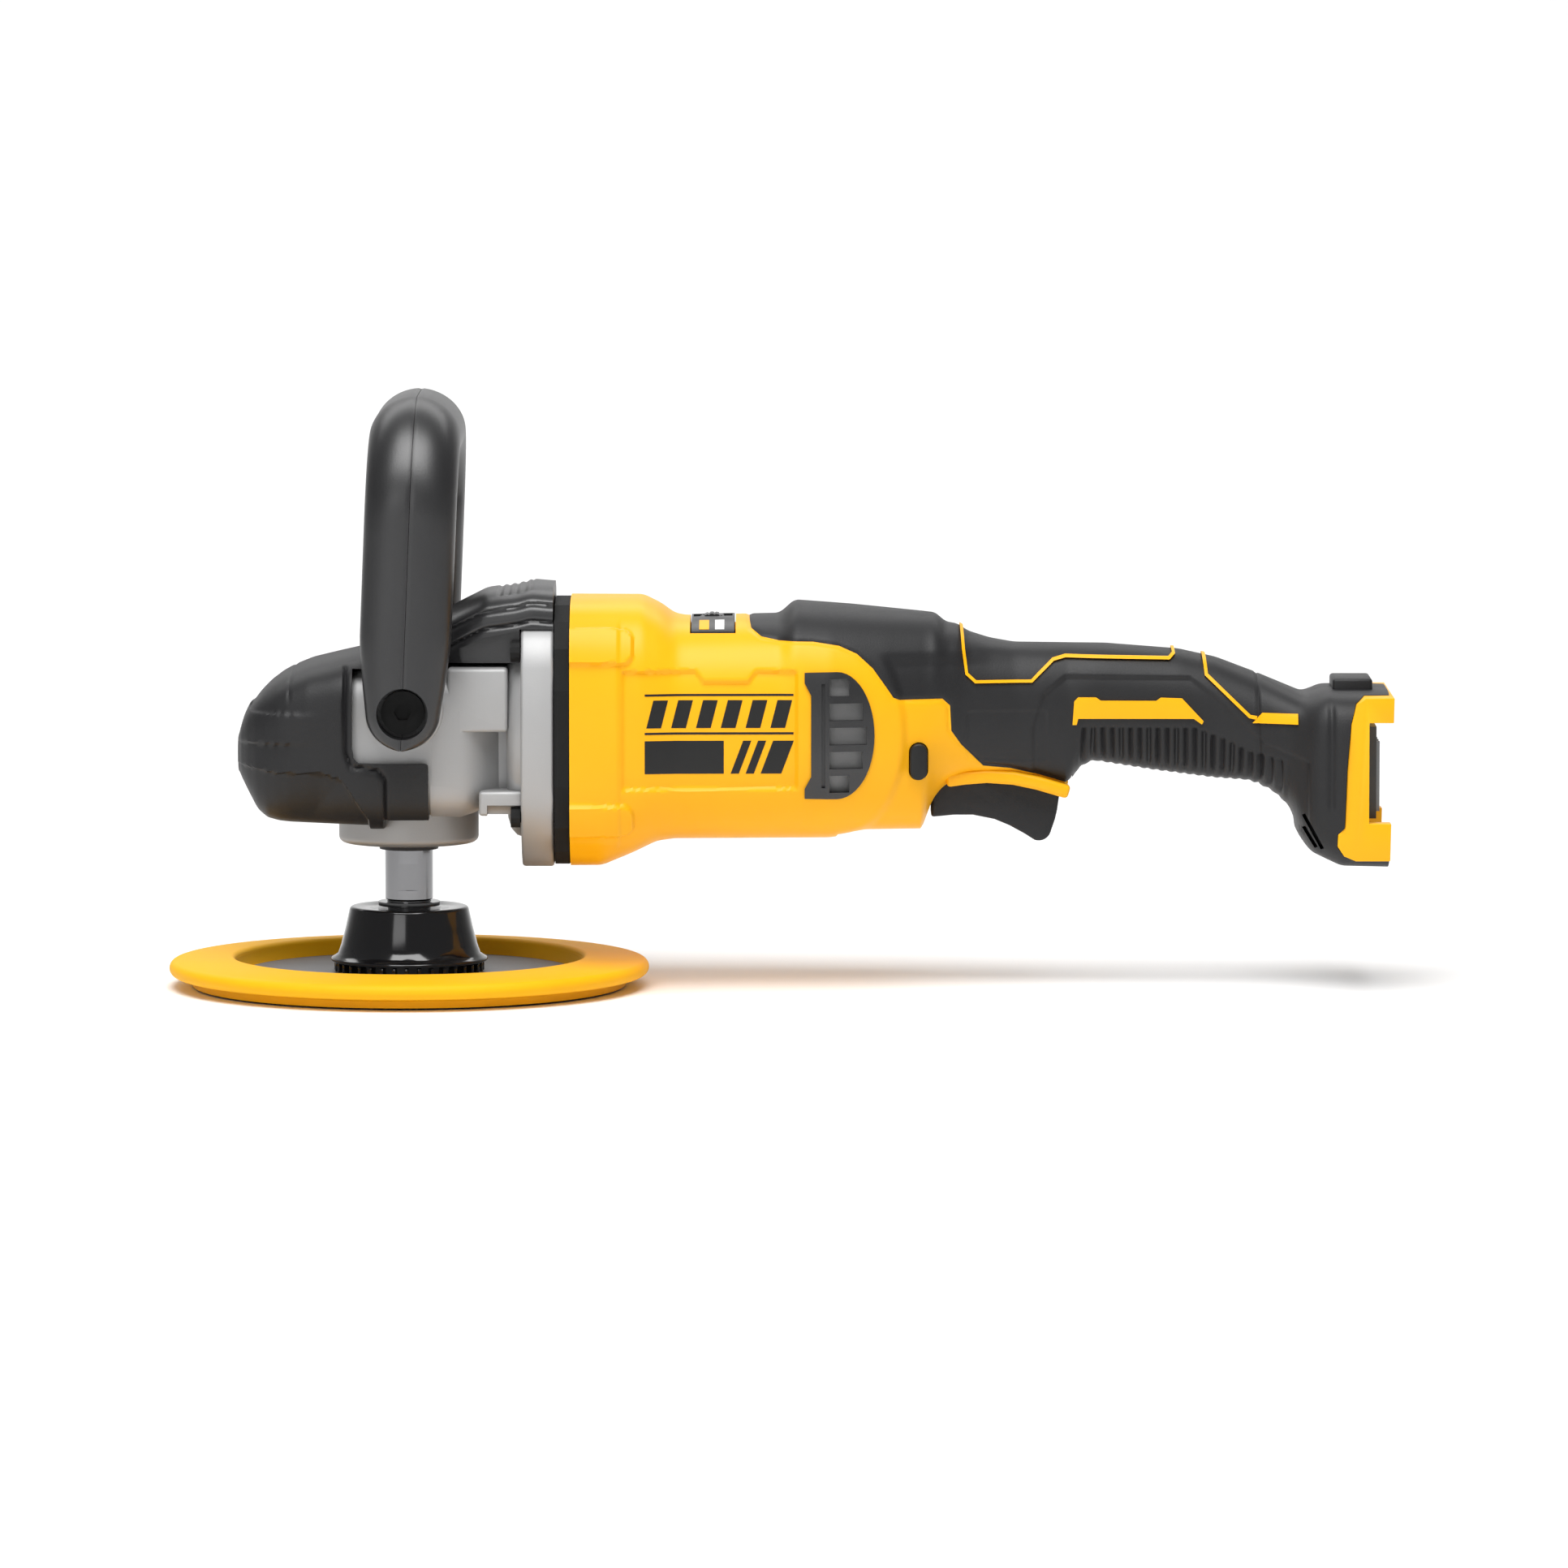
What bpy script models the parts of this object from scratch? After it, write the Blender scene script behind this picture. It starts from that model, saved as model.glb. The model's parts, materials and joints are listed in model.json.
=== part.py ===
"""A cordless rotary polisher without its battery: one object per physical piece.

Written in millimetres and scaled to metres when a mesh is made. The origin is the centre
of the backing pad's hook face, +Z runs up the spindle and +X runs along the body towards
the battery foot. The left side is -Y.
"""

import math

import bmesh
import bpy
import numpy as np
from mathutils import Matrix

MM = 0.001

# Driving dimensions, in millimetres.
GAP = 0.3
WALL = 3.0
PAD_RADIUS = 89.0
SHANK_RADIUS = 8.9
THREAD_RADIUS = 7.9
RETAINER_RADIUS = 25.9
MOTOR_Z = 96.2
CASE_WALL = 4.0
FLANGE_FRONT = 42.5
FLANGE_BACK = 54.5
HOUSING_FRONT = 60.4
BODY_BACK = 362.0
PIVOT = (-0.2, 106.4)
HANDLE_TOP = 220.5
HANDLE_HALF_WIDTH = 65.0
HANDLE_WIDTH = 33.6
HANDLE_END = 13.6
HANDLE_LEAN = math.radians(2.3)
RING_TEETH = 24
PINION_TEETH = 8
RING_RADIUS = 27.0
PINION_RADIUS = RING_RADIUS * PINION_TEETH / RING_TEETH
LOCK_PIN_Y = 14.5
TRIGGER_PIVOT = (201.0, 80.0)
DIAL_X = 112.9
VENT_CENTRE = (158.5, MOTOR_Z)
FLANGE_SCREWS = [(side * 35.5, z) for side in (-1, 1) for z in (66.0, 127.0)]
SHELL_SCREWS = [(88.0, 134.5), (119.0, 63.5), (186.0, 126.0), (290.0, 110.0)]

# The body's side silhouette and plan, each as (x, value) points read off along its length.
BODY_TOP = [(60.4, 145.0), (87.0, 145.0), (93.6, 141.8), (98.5, 138.2), (102.8, 137.3), (137.5, 138.2),
            (143.0, 143.2), (164.0, 141.7), (190.0, 139.2), (198.0, 135.4), (206.6, 132.3), (215.0, 129.4),
            (224.0, 127.8), (258.0, 127.4), (285.0, 125.3), (299.0, 122.2), (314.0, 116.5), (331.0, 110.4),
            (334.8, 112.8), (340.0, 115.8), (355.7, 114.8), (362.0, 112.4)]
BODY_BOTTOM = [(60.4, 45.8), (72.0, 45.8), (83.0, 50.3), (92.0, 54.6), (98.5, 55.5), (156.0, 55.6),
               (165.0, 57.0), (191.5, 57.2), (194.6, 67.5), (199.0, 73.4), (208.0, 75.8), (225.0, 76.0),
               (234.0, 74.5), (244.6, 72.3), (246.0, 76.5), (249.0, 80.5), (253.5, 83.0), (275.0, 79.6),
               (298.0, 76.6), (311.0, 75.7), (319.0, 72.4), (326.0, 66.3), (328.5, 58.3), (333.5, 51.2),
               (344.8, 46.0), (362.0, 45.6)]
BODY_WIDTH = [(60.4, 44.0), (87.0, 44.0), (100.0, 41.5), (156.0, 40.5), (176.0, 36.0), (190.0, 32.0),
              (206.0, 26.0), (225.0, 22.0), (245.0, 20.0), (299.0, 20.0), (314.0, 21.5), (326.0, 27.0),
              (335.0, 34.0), (345.0, 36.0), (362.0, 36.0)]
# Where the hollow inside is drawn, between which its walls run straight.
CAVITY_X = [59.0, 84.0, 99.5, 137.0, 165.0, 188.0, 197.5, 208.0, 225.0, 244.0, 255.0, 298.0, 318.0, 331.0,
            339.0]
BODY_POWER = [(60.4, 3.4), (100.0, 2.9), (176.0, 2.6), (225.0, 2.4), (314.0, 2.4), (340.0, 4.5), (362.0, 4.5)]
# Where the yellow shell ends and the black grip starts, on the side of the body.
COLOUR_SPLIT = [(125.6, 155.0), (125.6, 140.1), (127.0, 134.8), (130.8, 132.0), (137.4, 130.7),
                (149.7, 130.5), (159.2, 129.0), (165.9, 126.0), (171.7, 120.7), (176.5, 114.0),
                (179.3, 109.9), (181.6, 109.0), (197.4, 109.0), (200.2, 106.4), (200.7, 97.0),
                (204.4, 91.7), (212.6, 83.4), (222.7, 82.3), (233.4, 79.7), (244.6, 76.2)]
# The black gear case cover: (x, half width, bottom, top).
COVER_STATIONS = [(-62.2, 20.0, 80.5, 93.0), (-61.4, 27.0, 78.5, 98.0), (-58.5, 33.0, 72.5, 104.2),
                  (-55.0, 37.5, 65.5, 108.8), (-51.5, 40.0, 62.4, 112.4), (-47.0, 42.0, 61.2, 115.8),
                  (-43.0, 43.3, 60.8, 118.0), (-36.0, 44.6, 60.5, 120.8), (-26.0, 45.6, 60.3, 123.2),
                  (-17.0, 46.0, 60.2, 125.2), (10.0, 45.0, 60.2, 126.2)]
COVER_POWER = 4.6
RETAINER_FLANGE = 32.4
RETAINER_SCREW_CIRCLE = 30.1

COLOURS = {
    "yellow_plastic": ((0.97, 0.49, 0.012), 0.42, 0.0),
    "pad_foam": ((0.93, 0.42, 0.025), 0.62, 0.0),
    "black_plastic": ((0.022, 0.022, 0.023), 0.5, 0.0),
    "black_rubber": ((0.03, 0.03, 0.031), 0.72, 0.0),
    "gloss_black": ((0.008, 0.008, 0.009), 0.12, 0.0),
    "cast_aluminium": ((0.45, 0.45, 0.45), 0.42, 0.9),
    "chrome": ((0.7, 0.7, 0.7), 0.14, 1.0),
    "steel": ((0.4, 0.4, 0.4), 0.35, 1.0),
    "copper": ((0.7, 0.3, 0.14), 0.35, 1.0),
    "grey_mesh": ((0.3, 0.3, 0.3), 0.6, 0.0),
    "grey_plate": ((0.16, 0.16, 0.165), 0.5, 0.0),
    "hook_black": ((0.02, 0.02, 0.02), 0.95, 0.0),
}


def clear_scene():
    for old in list(bpy.data.objects):
        bpy.data.objects.remove(old, do_unlink=True)


def new_collection(name, hidden=False):
    collection = bpy.data.collections.new(name)
    bpy.context.scene.collection.children.link(collection)
    collection.hide_render = hidden
    return collection


def material(name):
    found = bpy.data.materials.get(name)
    if found:
        return found
    colour, roughness, metallic = COLOURS[name]
    made = bpy.data.materials.new(name)
    made.use_nodes = True
    shader = made.node_tree.nodes["Principled BSDF"]
    shader.inputs["Base Color"].default_value = (*colour, 1.0)
    shader.inputs["Roughness"].default_value = roughness
    shader.inputs["Metallic"].default_value = metallic
    return made


def add_solid(name, bm, finish, smooth=False):
    """Scales a mesh drawn in millimetres to metres and adds it as an object."""
    bmesh.ops.scale(bm, vec=(MM, MM, MM), verts=bm.verts)
    bmesh.ops.recalc_face_normals(bm, faces=bm.faces)
    for face in bm.faces:
        face.smooth = smooth
    mesh = bpy.data.meshes.new(name)
    bm.to_mesh(mesh)
    bm.free()
    obj = bpy.data.objects.new(name, mesh)
    PARTS.objects.link(obj)
    if finish:
        mesh.materials.append(material(finish))
    return obj


def prism(name, outline, axis, low, high, finish=None):
    """Extrudes an outline, given in the two other axes in X, Y, Z order, from low to high."""
    order = {"X": (2, 0, 1), "Y": (0, 2, 1), "Z": (0, 1, 2)}[axis]
    bm = bmesh.new()
    corners = [(*point, low) for point in outline]
    face = bm.faces.new([bm.verts.new([corner[order[i]] for i in range(3)]) for corner in corners])
    grown = bmesh.ops.extrude_face_region(bm, geom=[face])
    moved = [item for item in grown["geom"] if isinstance(item, bmesh.types.BMVert)]
    step = [high - low if letter == axis else 0.0 for letter in "XYZ"]
    bmesh.ops.translate(bm, vec=step, verts=moved)
    return add_solid(name, bm, finish)


def box(name, low, high, finish=None):
    bm = bmesh.new()
    bmesh.ops.create_cube(bm, size=1.0)
    size = [b - a for a, b in zip(low, high)]
    middle = [(a + b) / 2 for a, b in zip(low, high)]
    bmesh.ops.scale(bm, vec=size, verts=bm.verts)
    bmesh.ops.translate(bm, vec=middle, verts=bm.verts)
    return add_solid(name, bm, finish)


def rod(name, axis, centre, radius, low, high, finish=None, sides=24):
    """A cylinder along an axis from low to high. centre gives the two other axes in X, Y, Z order."""
    circle = arc(centre, radius, 0.0, 2 * math.pi, sides)[:-1]
    return prism(name, circle, axis, low, high, finish)


def turned(name, outline, finish, steps=32, axis="Z", height=0.0):
    """Turns an (radius, height) outline about the axis. It runs down the outer side."""
    bm = bmesh.new()
    points = [bm.verts.new((radius * MM, 0.0, level * MM)) for radius, level in outline]
    for first, second in zip(points, points[1:]):
        bm.edges.new((first, second))
    if outline[0][0] > 0.0:
        bm.edges.new((points[-1], points[0]))
    mesh = bpy.data.meshes.new(name)
    bm.to_mesh(mesh)
    bm.free()
    obj = bpy.data.objects.new(name, mesh)
    PARTS.objects.link(obj)
    if finish:
        mesh.materials.append(material(finish))
    screw = obj.modifiers.new("turn", "SCREW")
    screw.steps = steps
    screw.render_steps = steps
    screw.use_merge_vertices = True
    screw.merge_threshold = 0.00001
    if axis == "X":
        obj.matrix_world = Matrix.Translation((0.0, 0.0, height * MM)) @ Matrix.Rotation(math.pi / 2, 4, "Y")
    return obj


def skin(name, rings, finish=None, closed=False, smooth=True):
    """A solid through rings of points. It is capped at both ends, or closed into a loop."""
    bm = bmesh.new()
    rows = [[bm.verts.new(point) for point in ring] for ring in rings]
    pairs = list(zip(rows, rows[1:]))
    if closed:
        pairs.append((rows[-1], rows[0]))
    else:
        bm.faces.new(rows[0])
        bm.faces.new(rows[-1])
    for row, following in pairs:
        for i in range(len(row)):
            j = (i + 1) % len(row)
            bm.faces.new((row[i], row[j], following[j], following[i]))
    return add_solid(name, bm, finish, smooth)


def combine(obj, other, operation):
    """Adds a Boolean and puts the other solid away with the cutters."""
    other.name = f"tool_{len(CUTTERS.objects):03d}"
    PARTS.objects.unlink(other)
    CUTTERS.objects.link(other)
    other.hide_render = True
    other.display_type = "WIRE"
    boolean = obj.modifiers.new(operation.lower(), "BOOLEAN")
    boolean.operation = operation
    boolean.solver = "EXACT"
    boolean.object = other
    return obj


def cut(obj, *others):
    for other in others:
        combine(obj, other, "DIFFERENCE")
    return obj


def join(obj, *others):
    for other in others:
        combine(obj, other, "UNION")
    return obj


def keep(obj, region):
    return combine(obj, region, "INTERSECT")


def arc(centre, radius, start, end, steps):
    """Points along a circle's arc. radius may be a pair, for an ellipse."""
    wide, high = radius if isinstance(radius, tuple) else (radius, radius)
    turns = [start + (end - start) * i / steps for i in range(steps + 1)]
    return [(centre[0] + wide * math.cos(turn), centre[1] + high * math.sin(turn)) for turn in turns]


def rounded(value, power):
    """A superellipse's coordinate: the sign of value times a power of its size."""
    return math.copysign(abs(value) ** (2.0 / power), value)


def body_value(curve, x):
    return float(np.interp(x, [point[0] for point in curve], [point[1] for point in curve]))


def surface_y(x, z):
    """How far out the body's surface is at a height z of its section at x."""
    low, high = body_value(BODY_BOTTOM, x), body_value(BODY_TOP, x)
    rise = min(abs(2.0 * z - low - high) / (high - low), 1.0)
    power = body_value(BODY_POWER, x)
    return body_value(BODY_WIDTH, x) * (1.0 - rise ** power) ** (1.0 / power)


def half_section(x, side, inset, plane, steps):
    """One side's half of the body's section at x, closed along a plane beside the mid-plane."""
    width = body_value(BODY_WIDTH, x) - inset
    low = body_value(BODY_BOTTOM, x) + inset
    high = body_value(BODY_TOP, x) - inset
    power = body_value(BODY_POWER, x)
    ring = []
    for i in range(steps + 1):
        turn = math.pi * (i / steps - 0.5)
        y = width * rounded(math.cos(turn), power) if 0 < i < steps else plane
        z = (low + high) / 2 + (high - low) / 2 * rounded(math.sin(turn), power)
        ring.append((x, side * max(y, plane), z))
    return ring


def body_stations(start, end):
    """The places along the body where one of its curves bends, with both ends."""
    points = BODY_TOP + BODY_BOTTOM + BODY_WIDTH
    inner = {x for x, _ in points if start < x < end}
    stations = sorted(inner | {start, end})
    following = stations[1:] + [end + 9.0]
    return [x for x, after in zip(stations, following) if after - x > 1.3 or x == start]


def half_body(name, side, inset, start, end, finish=None, steps=11):
    rings = [half_section(x, side, inset, GAP / 2, steps) for x in body_stations(start, end)]
    return skin(name, rings, finish)


def half_cavity(side, start, end):
    """What is hollow in one half of the body."""
    stations = [x for x in CAVITY_X if start <= x <= end]
    return skin("cavity", [half_section(x, side, WALL, -2.0, 8) for x in stations])


def side_name(side):
    return "left" if side < 0 else "right"


def yellow_region(shift):
    """A block that holds all of the body in front of the colour split."""
    edge = [(x + shift, z + shift) for x, z in COLOUR_SPLIT]
    outline = [(40.0, 155.0 + shift), *edge, (244.6 + shift, 60.0), (230.0, 30.0), (40.0, 30.0)]
    return prism("region", outline, "Y", -60.0, 60.0)


def vent_outline(grow):
    """The vent shield's D shape, with a stepped front edge."""
    x, z = VENT_CENTRE
    bow = arc((x, z), (13.8 + grow, 23.5 + grow), math.pi / 2, -math.pi / 2, 12)
    front = [(-13.5, -23.3), (-13.5, -19.5), (-10.8, -15.0), (-10.8, 15.0), (-13.5, 19.5), (-13.5, 23.3)]
    return bow + [(x + dx - grow, z + dz * (1.0 + grow / 23.5)) for dx, dz in front]


def pill_outline(grow):
    """The lock button's outline on the side of the housing."""
    radius = 3.3 + grow
    top = arc((188.6, 89.6), radius, 0.0, math.pi, 8)
    return top + arc((188.6, 82.6), radius, math.pi, 2 * math.pi, 8)


def rail_outline(grow, back=0.0):
    """The battery rail from the side: a back plate with a hook at the top and the bottom."""
    points = [(349.5, 112.0), (346.8, 108.5), (345.2, 100.0), (343.7, 84.0), (343.2, 62.0), (341.0, 57.5),
              (341.8, 53.0), (344.0, 51.0), (348.8, 49.6)]
    front = [(x - grow, z + math.copysign(grow, z - 80.0)) for x, z in points]
    return front + [(360.0 + back, 49.6 - grow), (362.6 + back, 112.0 + grow)]


def screw_boss(x, z, side):
    """A screw's post inside one half of the body."""
    low, high = sorted((side * GAP / 2, side * (surface_y(x, z) - 1.5)))
    return rod("boss", "Y", (x, z), 4.4, low, high, sides=12)


def make_housing(side):
    name = f"housing_{side_name(side)}"
    housing = half_body(name, side, 0.0, HOUSING_FRONT, 250.0, finish="yellow_plastic")
    cut(housing, half_cavity(side, 59.0, 255.0))
    keep(housing, yellow_region(0.0))
    for y, z in FLANGE_SCREWS:
        if y * side > 0:
            join(housing, rod("boss", "X", (y, z), 7.2, HOUSING_FRONT + 0.8, 80.0, sides=16))
            cut(housing, rod("bore", "X", (y, z), 2.3, HOUSING_FRONT - 1.0, 77.0, sides=8))
    cut_shell_screws(housing, side, SHELL_SCREWS[:2])
    low, high = sorted((side * 20.0, side * 60.0))
    cut(housing, prism("vent_hole", vent_outline(GAP), "Y", low, high))
    cut(housing, box("bezel_hole", (DIAL_X - 8.35, -26.3, 127.0), (DIAL_X + 8.35, 26.3, 160.0)))
    cut_trigger_slot(housing)
    if side < 0:
        cut(housing, prism("button_hole", pill_outline(GAP), "Y", -50.0, -20.0))


def cut_trigger_slot(shell):
    cut(shell, box("slot", (195.2, -9.6, 50.0), (246.0, 9.6, 87.0)))


def cut_shell_screws(shell, side, places):
    for x, z in places:
        join(shell, screw_boss(x, z, side))
        if side < 0:
            cut(shell, rod("bore", "Y", (x, z), 1.9, -12.0, 5.0, sides=8))
        else:
            cut(shell, rod("bore", "Y", (x, z), 1.9, -5.0, 60.0, sides=8))
            cut(shell, rod("seat", "Y", (x, z), 3.4, surface_y(x, z) - 6.0, 60.0, sides=12))


def make_grip(side):
    grip = half_body(f"grip_{side_name(side)}", side, 0.0, 120.0, BODY_BACK, finish="black_rubber")
    cut(grip, half_cavity(side, 99.0, 339.0))
    cut(grip, yellow_region(GAP))
    cut(grip, prism("rail_seat", rail_outline(0.4, 8.0), "Y", -60.0, 60.0))
    cut_shell_screws(grip, side, SHELL_SCREWS[2:])
    cut_trigger_slot(grip)


def make_shell_screw(name, x, z):
    """A long screw that holds the two halves of the body together."""
    seat = surface_y(x, z) - 6.0 + GAP
    screw = rod(name, "Y", (x, z), 3.1, seat, seat + 2.4, "steel", sides=12)
    join(screw, rod("shank", "Y", (x, z), 1.6, -11.0, seat + 1.0, sides=8))
    cut(screw, rod("socket", "Y", (x, z), 1.4, seat + 1.0, seat + 5.0, sides=6))


def make_vent_shield(side):
    shield = half_body(f"vent_shield_{side_name(side)}", side, -0.9, 138.0, 180.0, "black_plastic", 10)
    cut(shield, half_body("inside", side, 2.4, 130.0, 185.0, steps=10))
    low, high = sorted((side * 20.0, side * 60.0))
    keep(shield, prism("outline", vent_outline(0.0), "Y", low, high))
    for row in range(-2, 3):
        z = VENT_CENTRE[1] + 8.9 * row
        reach = 10.6 * math.sqrt(1.0 - ((abs(8.9 * row) + 2.7) / 21.5) ** 2)
        ends = sorted((side * 20.0, side * 60.0))
        cut(shield, box("window", (154.0, ends[0], z - 2.7), (VENT_CENTRE[0] + reach, ends[1], z + 2.7)))


def make_vent_mesh(side):
    mesh = half_body(f"vent_mesh_{side_name(side)}", side, 3.0, 138.0, 180.0, "grey_mesh", 8)
    cut(mesh, half_body("inside", side, 3.9, 130.0, 185.0, steps=8))
    low, high = sorted((side * 20.0, side * 60.0))
    keep(mesh, prism("outline", vent_outline(-1.5), "Y", low, high))


def make_dial():
    """The speed thumbwheel, on its own axis, and the black inlay around it."""
    top = body_value(BODY_TOP, DIAL_X)
    axis_z = top + 1.2 - 8.0
    wheel = rod("speed_dial", "Y", (DIAL_X, axis_z), 8.0, -5.0, 5.0, "black_plastic", sides=32)
    cut(wheel, rod("bore", "Y", (DIAL_X, axis_z), 1.6, -9.0, 9.0, sides=12))
    outer = [full_section(x, -0.5) for x in (104.7, 109.0, 113.0, 117.0, 121.1)]
    bezel = skin("dial_bezel", outer, "black_plastic")
    cut(bezel, skin("inside", [full_section(x, 2.2) for x in (100.0, 109.0, 113.0, 117.0, 125.0)]))
    keep(bezel, box("outline", (DIAL_X - 8.0, -26.0, 127.0), (DIAL_X + 8.0, 26.0, 160.0)))
    cut(bezel, box("window", (DIAL_X - 7.2, -5.4, 120.0), (DIAL_X + 7.2, 5.4, 160.0)))


def full_section(x, inset, steps=18):
    ring = half_section(x, 1, inset, 0.0, steps // 2)
    mirror = [(x, -y, z) for _, y, z in reversed(ring[1:-1])]
    return ring + mirror


def oval_section(x, width, low, high, power, steps=16):
    ring = []
    for i in range(steps):
        turn = 2 * math.pi * (i + 0.5) / steps
        z = (low + high) / 2 + (high - low) / 2 * rounded(math.sin(turn), power)
        ring.append((x, width * rounded(math.cos(turn), power), z))
    return ring


def cover_solid(name, inset, finish=None):
    """The nose of the gear case, or its black cover when inset is 0."""
    rings = []
    for x, width, low, high in COVER_STATIONS:
        moved = x + inset * (1.0 if abs(x + 15.0) > 22.0 else 0.0)
        rings.append(oval_section(moved, width - inset, low + inset, high - inset, COVER_POWER))
    return skin(name, rings, finish)


def make_gear_case_cover():
    cover = cover_solid("gear_case_cover", 0.0, "black_rubber")
    cut(cover, cover_solid("inside", CASE_WALL - GAP))
    cut(cover, rod("button", "Z", (0.0, LOCK_PIN_Y), 6.9, 110.0, 150.0))
    tab = [(-8.0, 65.2), (8.6, 65.2), (8.6, 86.2), (-8.0, 86.2)]
    edge = [(-80.0, 40.0), (-8.0, 40.0), *tab, (-19.3, 90.5), (-19.3, 121.0), (8.6, 121.0), (8.6, 140.0),
            (-80.0, 140.0)]
    keep(cover, prism("edge", edge, "Y", -60.0, 60.0))
    cut(cover, rod("neck", "Z", (0.0, 0.0), RETAINER_RADIUS + 0.5, 50.0, 70.0, sides=24))


def flange_outline(grow):
    """The gear case flange from the front: an uneven octagon."""
    right = [(18.0, 46.2), (28.0, 50.8), (38.0, 61.0), (43.0, 73.0), (43.0, 121.0), (38.5, 131.0),
             (31.0, 137.0)]
    right = [(y + grow, z + math.copysign(grow, z - MOTOR_Z)) for y, z in right]
    return right + [(-y, z) for y, z in reversed(right)]


def make_gear_case():
    case = cover_solid("gear_case", CASE_WALL, "cast_aluminium")
    neck = [(9.2, 41.0, 64.2, 121.4), (18.0, 38.0, 64.4, 121.2), (34.0, 37.0, 68.0, 121.2),
            (44.0, 37.0, 68.5, 121.2)]
    join(case, skin("neck", [oval_section(*station, 5.0) for station in neck]))
    join(case, prism("flange", flange_outline(0.0), "X", FLANGE_FRONT, FLANGE_BACK))
    join(case, rod("dome", "X", (0.0, MOTOR_Z), 40.8, 37.0, FLANGE_FRONT + 1.0, sides=32))
    for side in (-1, 1):
        low, high = sorted((side * 30.0, side * 47.5))
        join(case, rod("pivot_boss", "Y", PIVOT, 14.5, low, high, sides=24))
        low, high = sorted((side * 33.0, side * 60.0))
        cut(case, rod("bolt_hole", "Y", PIVOT, 4.2, low, high, sides=12))
    cut(case, rod("retainer_seat", "Z", (0.0, 0.0), RETAINER_FLANGE + 0.6, 50.0, 70.0, sides=24))
    cut(case, rod("gear_chamber", "Z", (0.0, 0.0), 28.0, 69.0, 108.0, sides=24))
    cut(case, rod("bearing_seat", "Z", (0.0, 0.0), 11.15, 100.0, 115.2, sides=24))
    cut(case, rod("pin_hole", "Z", (0.0, LOCK_PIN_Y), 2.2, 105.0, 125.0, sides=10))
    cut(case, rod("pin_recess", "Z", (0.0, LOCK_PIN_Y), 6.9, 119.4, 130.0, sides=16))
    cut(case, rod("shaft_hole", "X", (0.0, MOTOR_Z), 11.4, 20.0, 60.0, sides=24))
    cut(case, rod("motor_seat", "X", (0.0, MOTOR_Z), 13.15, 38.0, 60.0, sides=24))
    cut(case, rod("motor_recess", "X", (0.0, MOTOR_Z), 31.0, 49.5, 60.0, sides=24))
    for angle in range(4):
        x, y = polar(RETAINER_SCREW_CIRCLE, math.pi / 4 + angle * math.pi / 2)
        cut(case, rod("retainer_bore", "Z", (x, y), 1.6, 60.0, 82.0, sides=8))
    for y, z in FLANGE_SCREWS:
        cut(case, rod("flange_bore", "X", (y, z), 2.3, 38.0, 60.0, sides=8))


def polar(radius, angle):
    return radius * math.cos(angle), radius * math.sin(angle)


def make_top_shroud():
    """The black hood over the gear case, behind the bail handle."""
    stations = [(9.0, 27.0, 134.5), (14.0, 30.0, 139.4), (19.0, 32.0, 142.2), (23.0, 33.0, 144.2),
                (29.0, 34.0, 147.2), (41.0, 34.5, 148.9), (46.0, 34.5, 150.3), (54.2, 34.5, 149.6)]
    rings = [oval_section(x, width, 115.0, top, 4.0) for x, width, top in stations]
    shroud = skin("top_shroud", rings, "black_plastic")
    floor = [(0.0, 100.0), (60.0, 100.0), (60.0, 122.6), (0.0, 122.6)]
    cut(shroud, prism("floor", floor, "Y", -60.0, 60.0))
    cut(shroud, prism("flange", flange_outline(GAP + 0.2), "X", 36.7, 70.0))
    hollow = [(14.0, 115.0), (33.0, 115.0), (33.0, 138.0), (24.0, 137.0), (14.0, 131.0)]
    cut(shroud, prism("hollow", hollow, "Y", -28.0, 28.0))
    for side in (-1, 1):
        low, high = sorted((side * 32.2, side * 60.0))
        under = [(0.0, 110.0), (60.0, 110.0), (60.0, 135.0), (41.0, 134.4), (29.0, 132.0), (21.0, 128.4),
                 (0.0, 124.0)]
        cut(shroud, prism("under_arch", under, "Y", low, high))


def make_gasket_plate():
    ring = [(y, z) for _, y, z in full_section(HOUSING_FRONT, 0.0)]
    plate = prism("gasket_plate", ring, "X", FLANGE_BACK + GAP, HOUSING_FRONT - GAP, "black_plastic")
    cut(plate, rod("opening", "X", (0.0, MOTOR_Z), 31.0, 50.0, 70.0, sides=24))
    for y, z in FLANGE_SCREWS:
        cut(plate, rod("bore", "X", (y, z), 2.3, 50.0, 70.0, sides=8))


def make_flange_screw(name, y, z):
    screw = rod(name, "X", (y, z), 3.8, FLANGE_FRONT - 3.8, FLANGE_FRONT - GAP, "steel", sides=12)
    join(screw, rod("shank", "X", (y, z), 2.0, FLANGE_FRONT - 1.0, 75.0, sides=8))
    cut(screw, rod("socket", "X", (y, z), 1.9, 30.0, FLANGE_FRONT - 2.0, sides=6))


def make_retainer():
    """The cast ring that closes the gear case from below and holds the lower bearing."""
    outline = [(RETAINER_FLANGE, 69.7), (RETAINER_FLANGE, 66.7), (RETAINER_RADIUS, 66.7),
               (RETAINER_RADIUS, 55.5), (24.5, 53.3),
               (9.4, 53.3), (9.4, 56.7), (20.1, 56.7), (20.1, 69.7)]
    retainer = turned("bearing_retainer", outline, "cast_aluminium", steps=24)
    for angle in range(4):
        x, y = polar(RETAINER_SCREW_CIRCLE, math.pi / 4 + angle * math.pi / 2)
        cut(retainer, rod("bore", "Z", (x, y), 1.6, 60.0, 80.0, sides=8))
        cut(retainer, rod("head_seat", "Z", (x, y), 2.6, 60.0, 68.3, sides=10))


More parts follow.
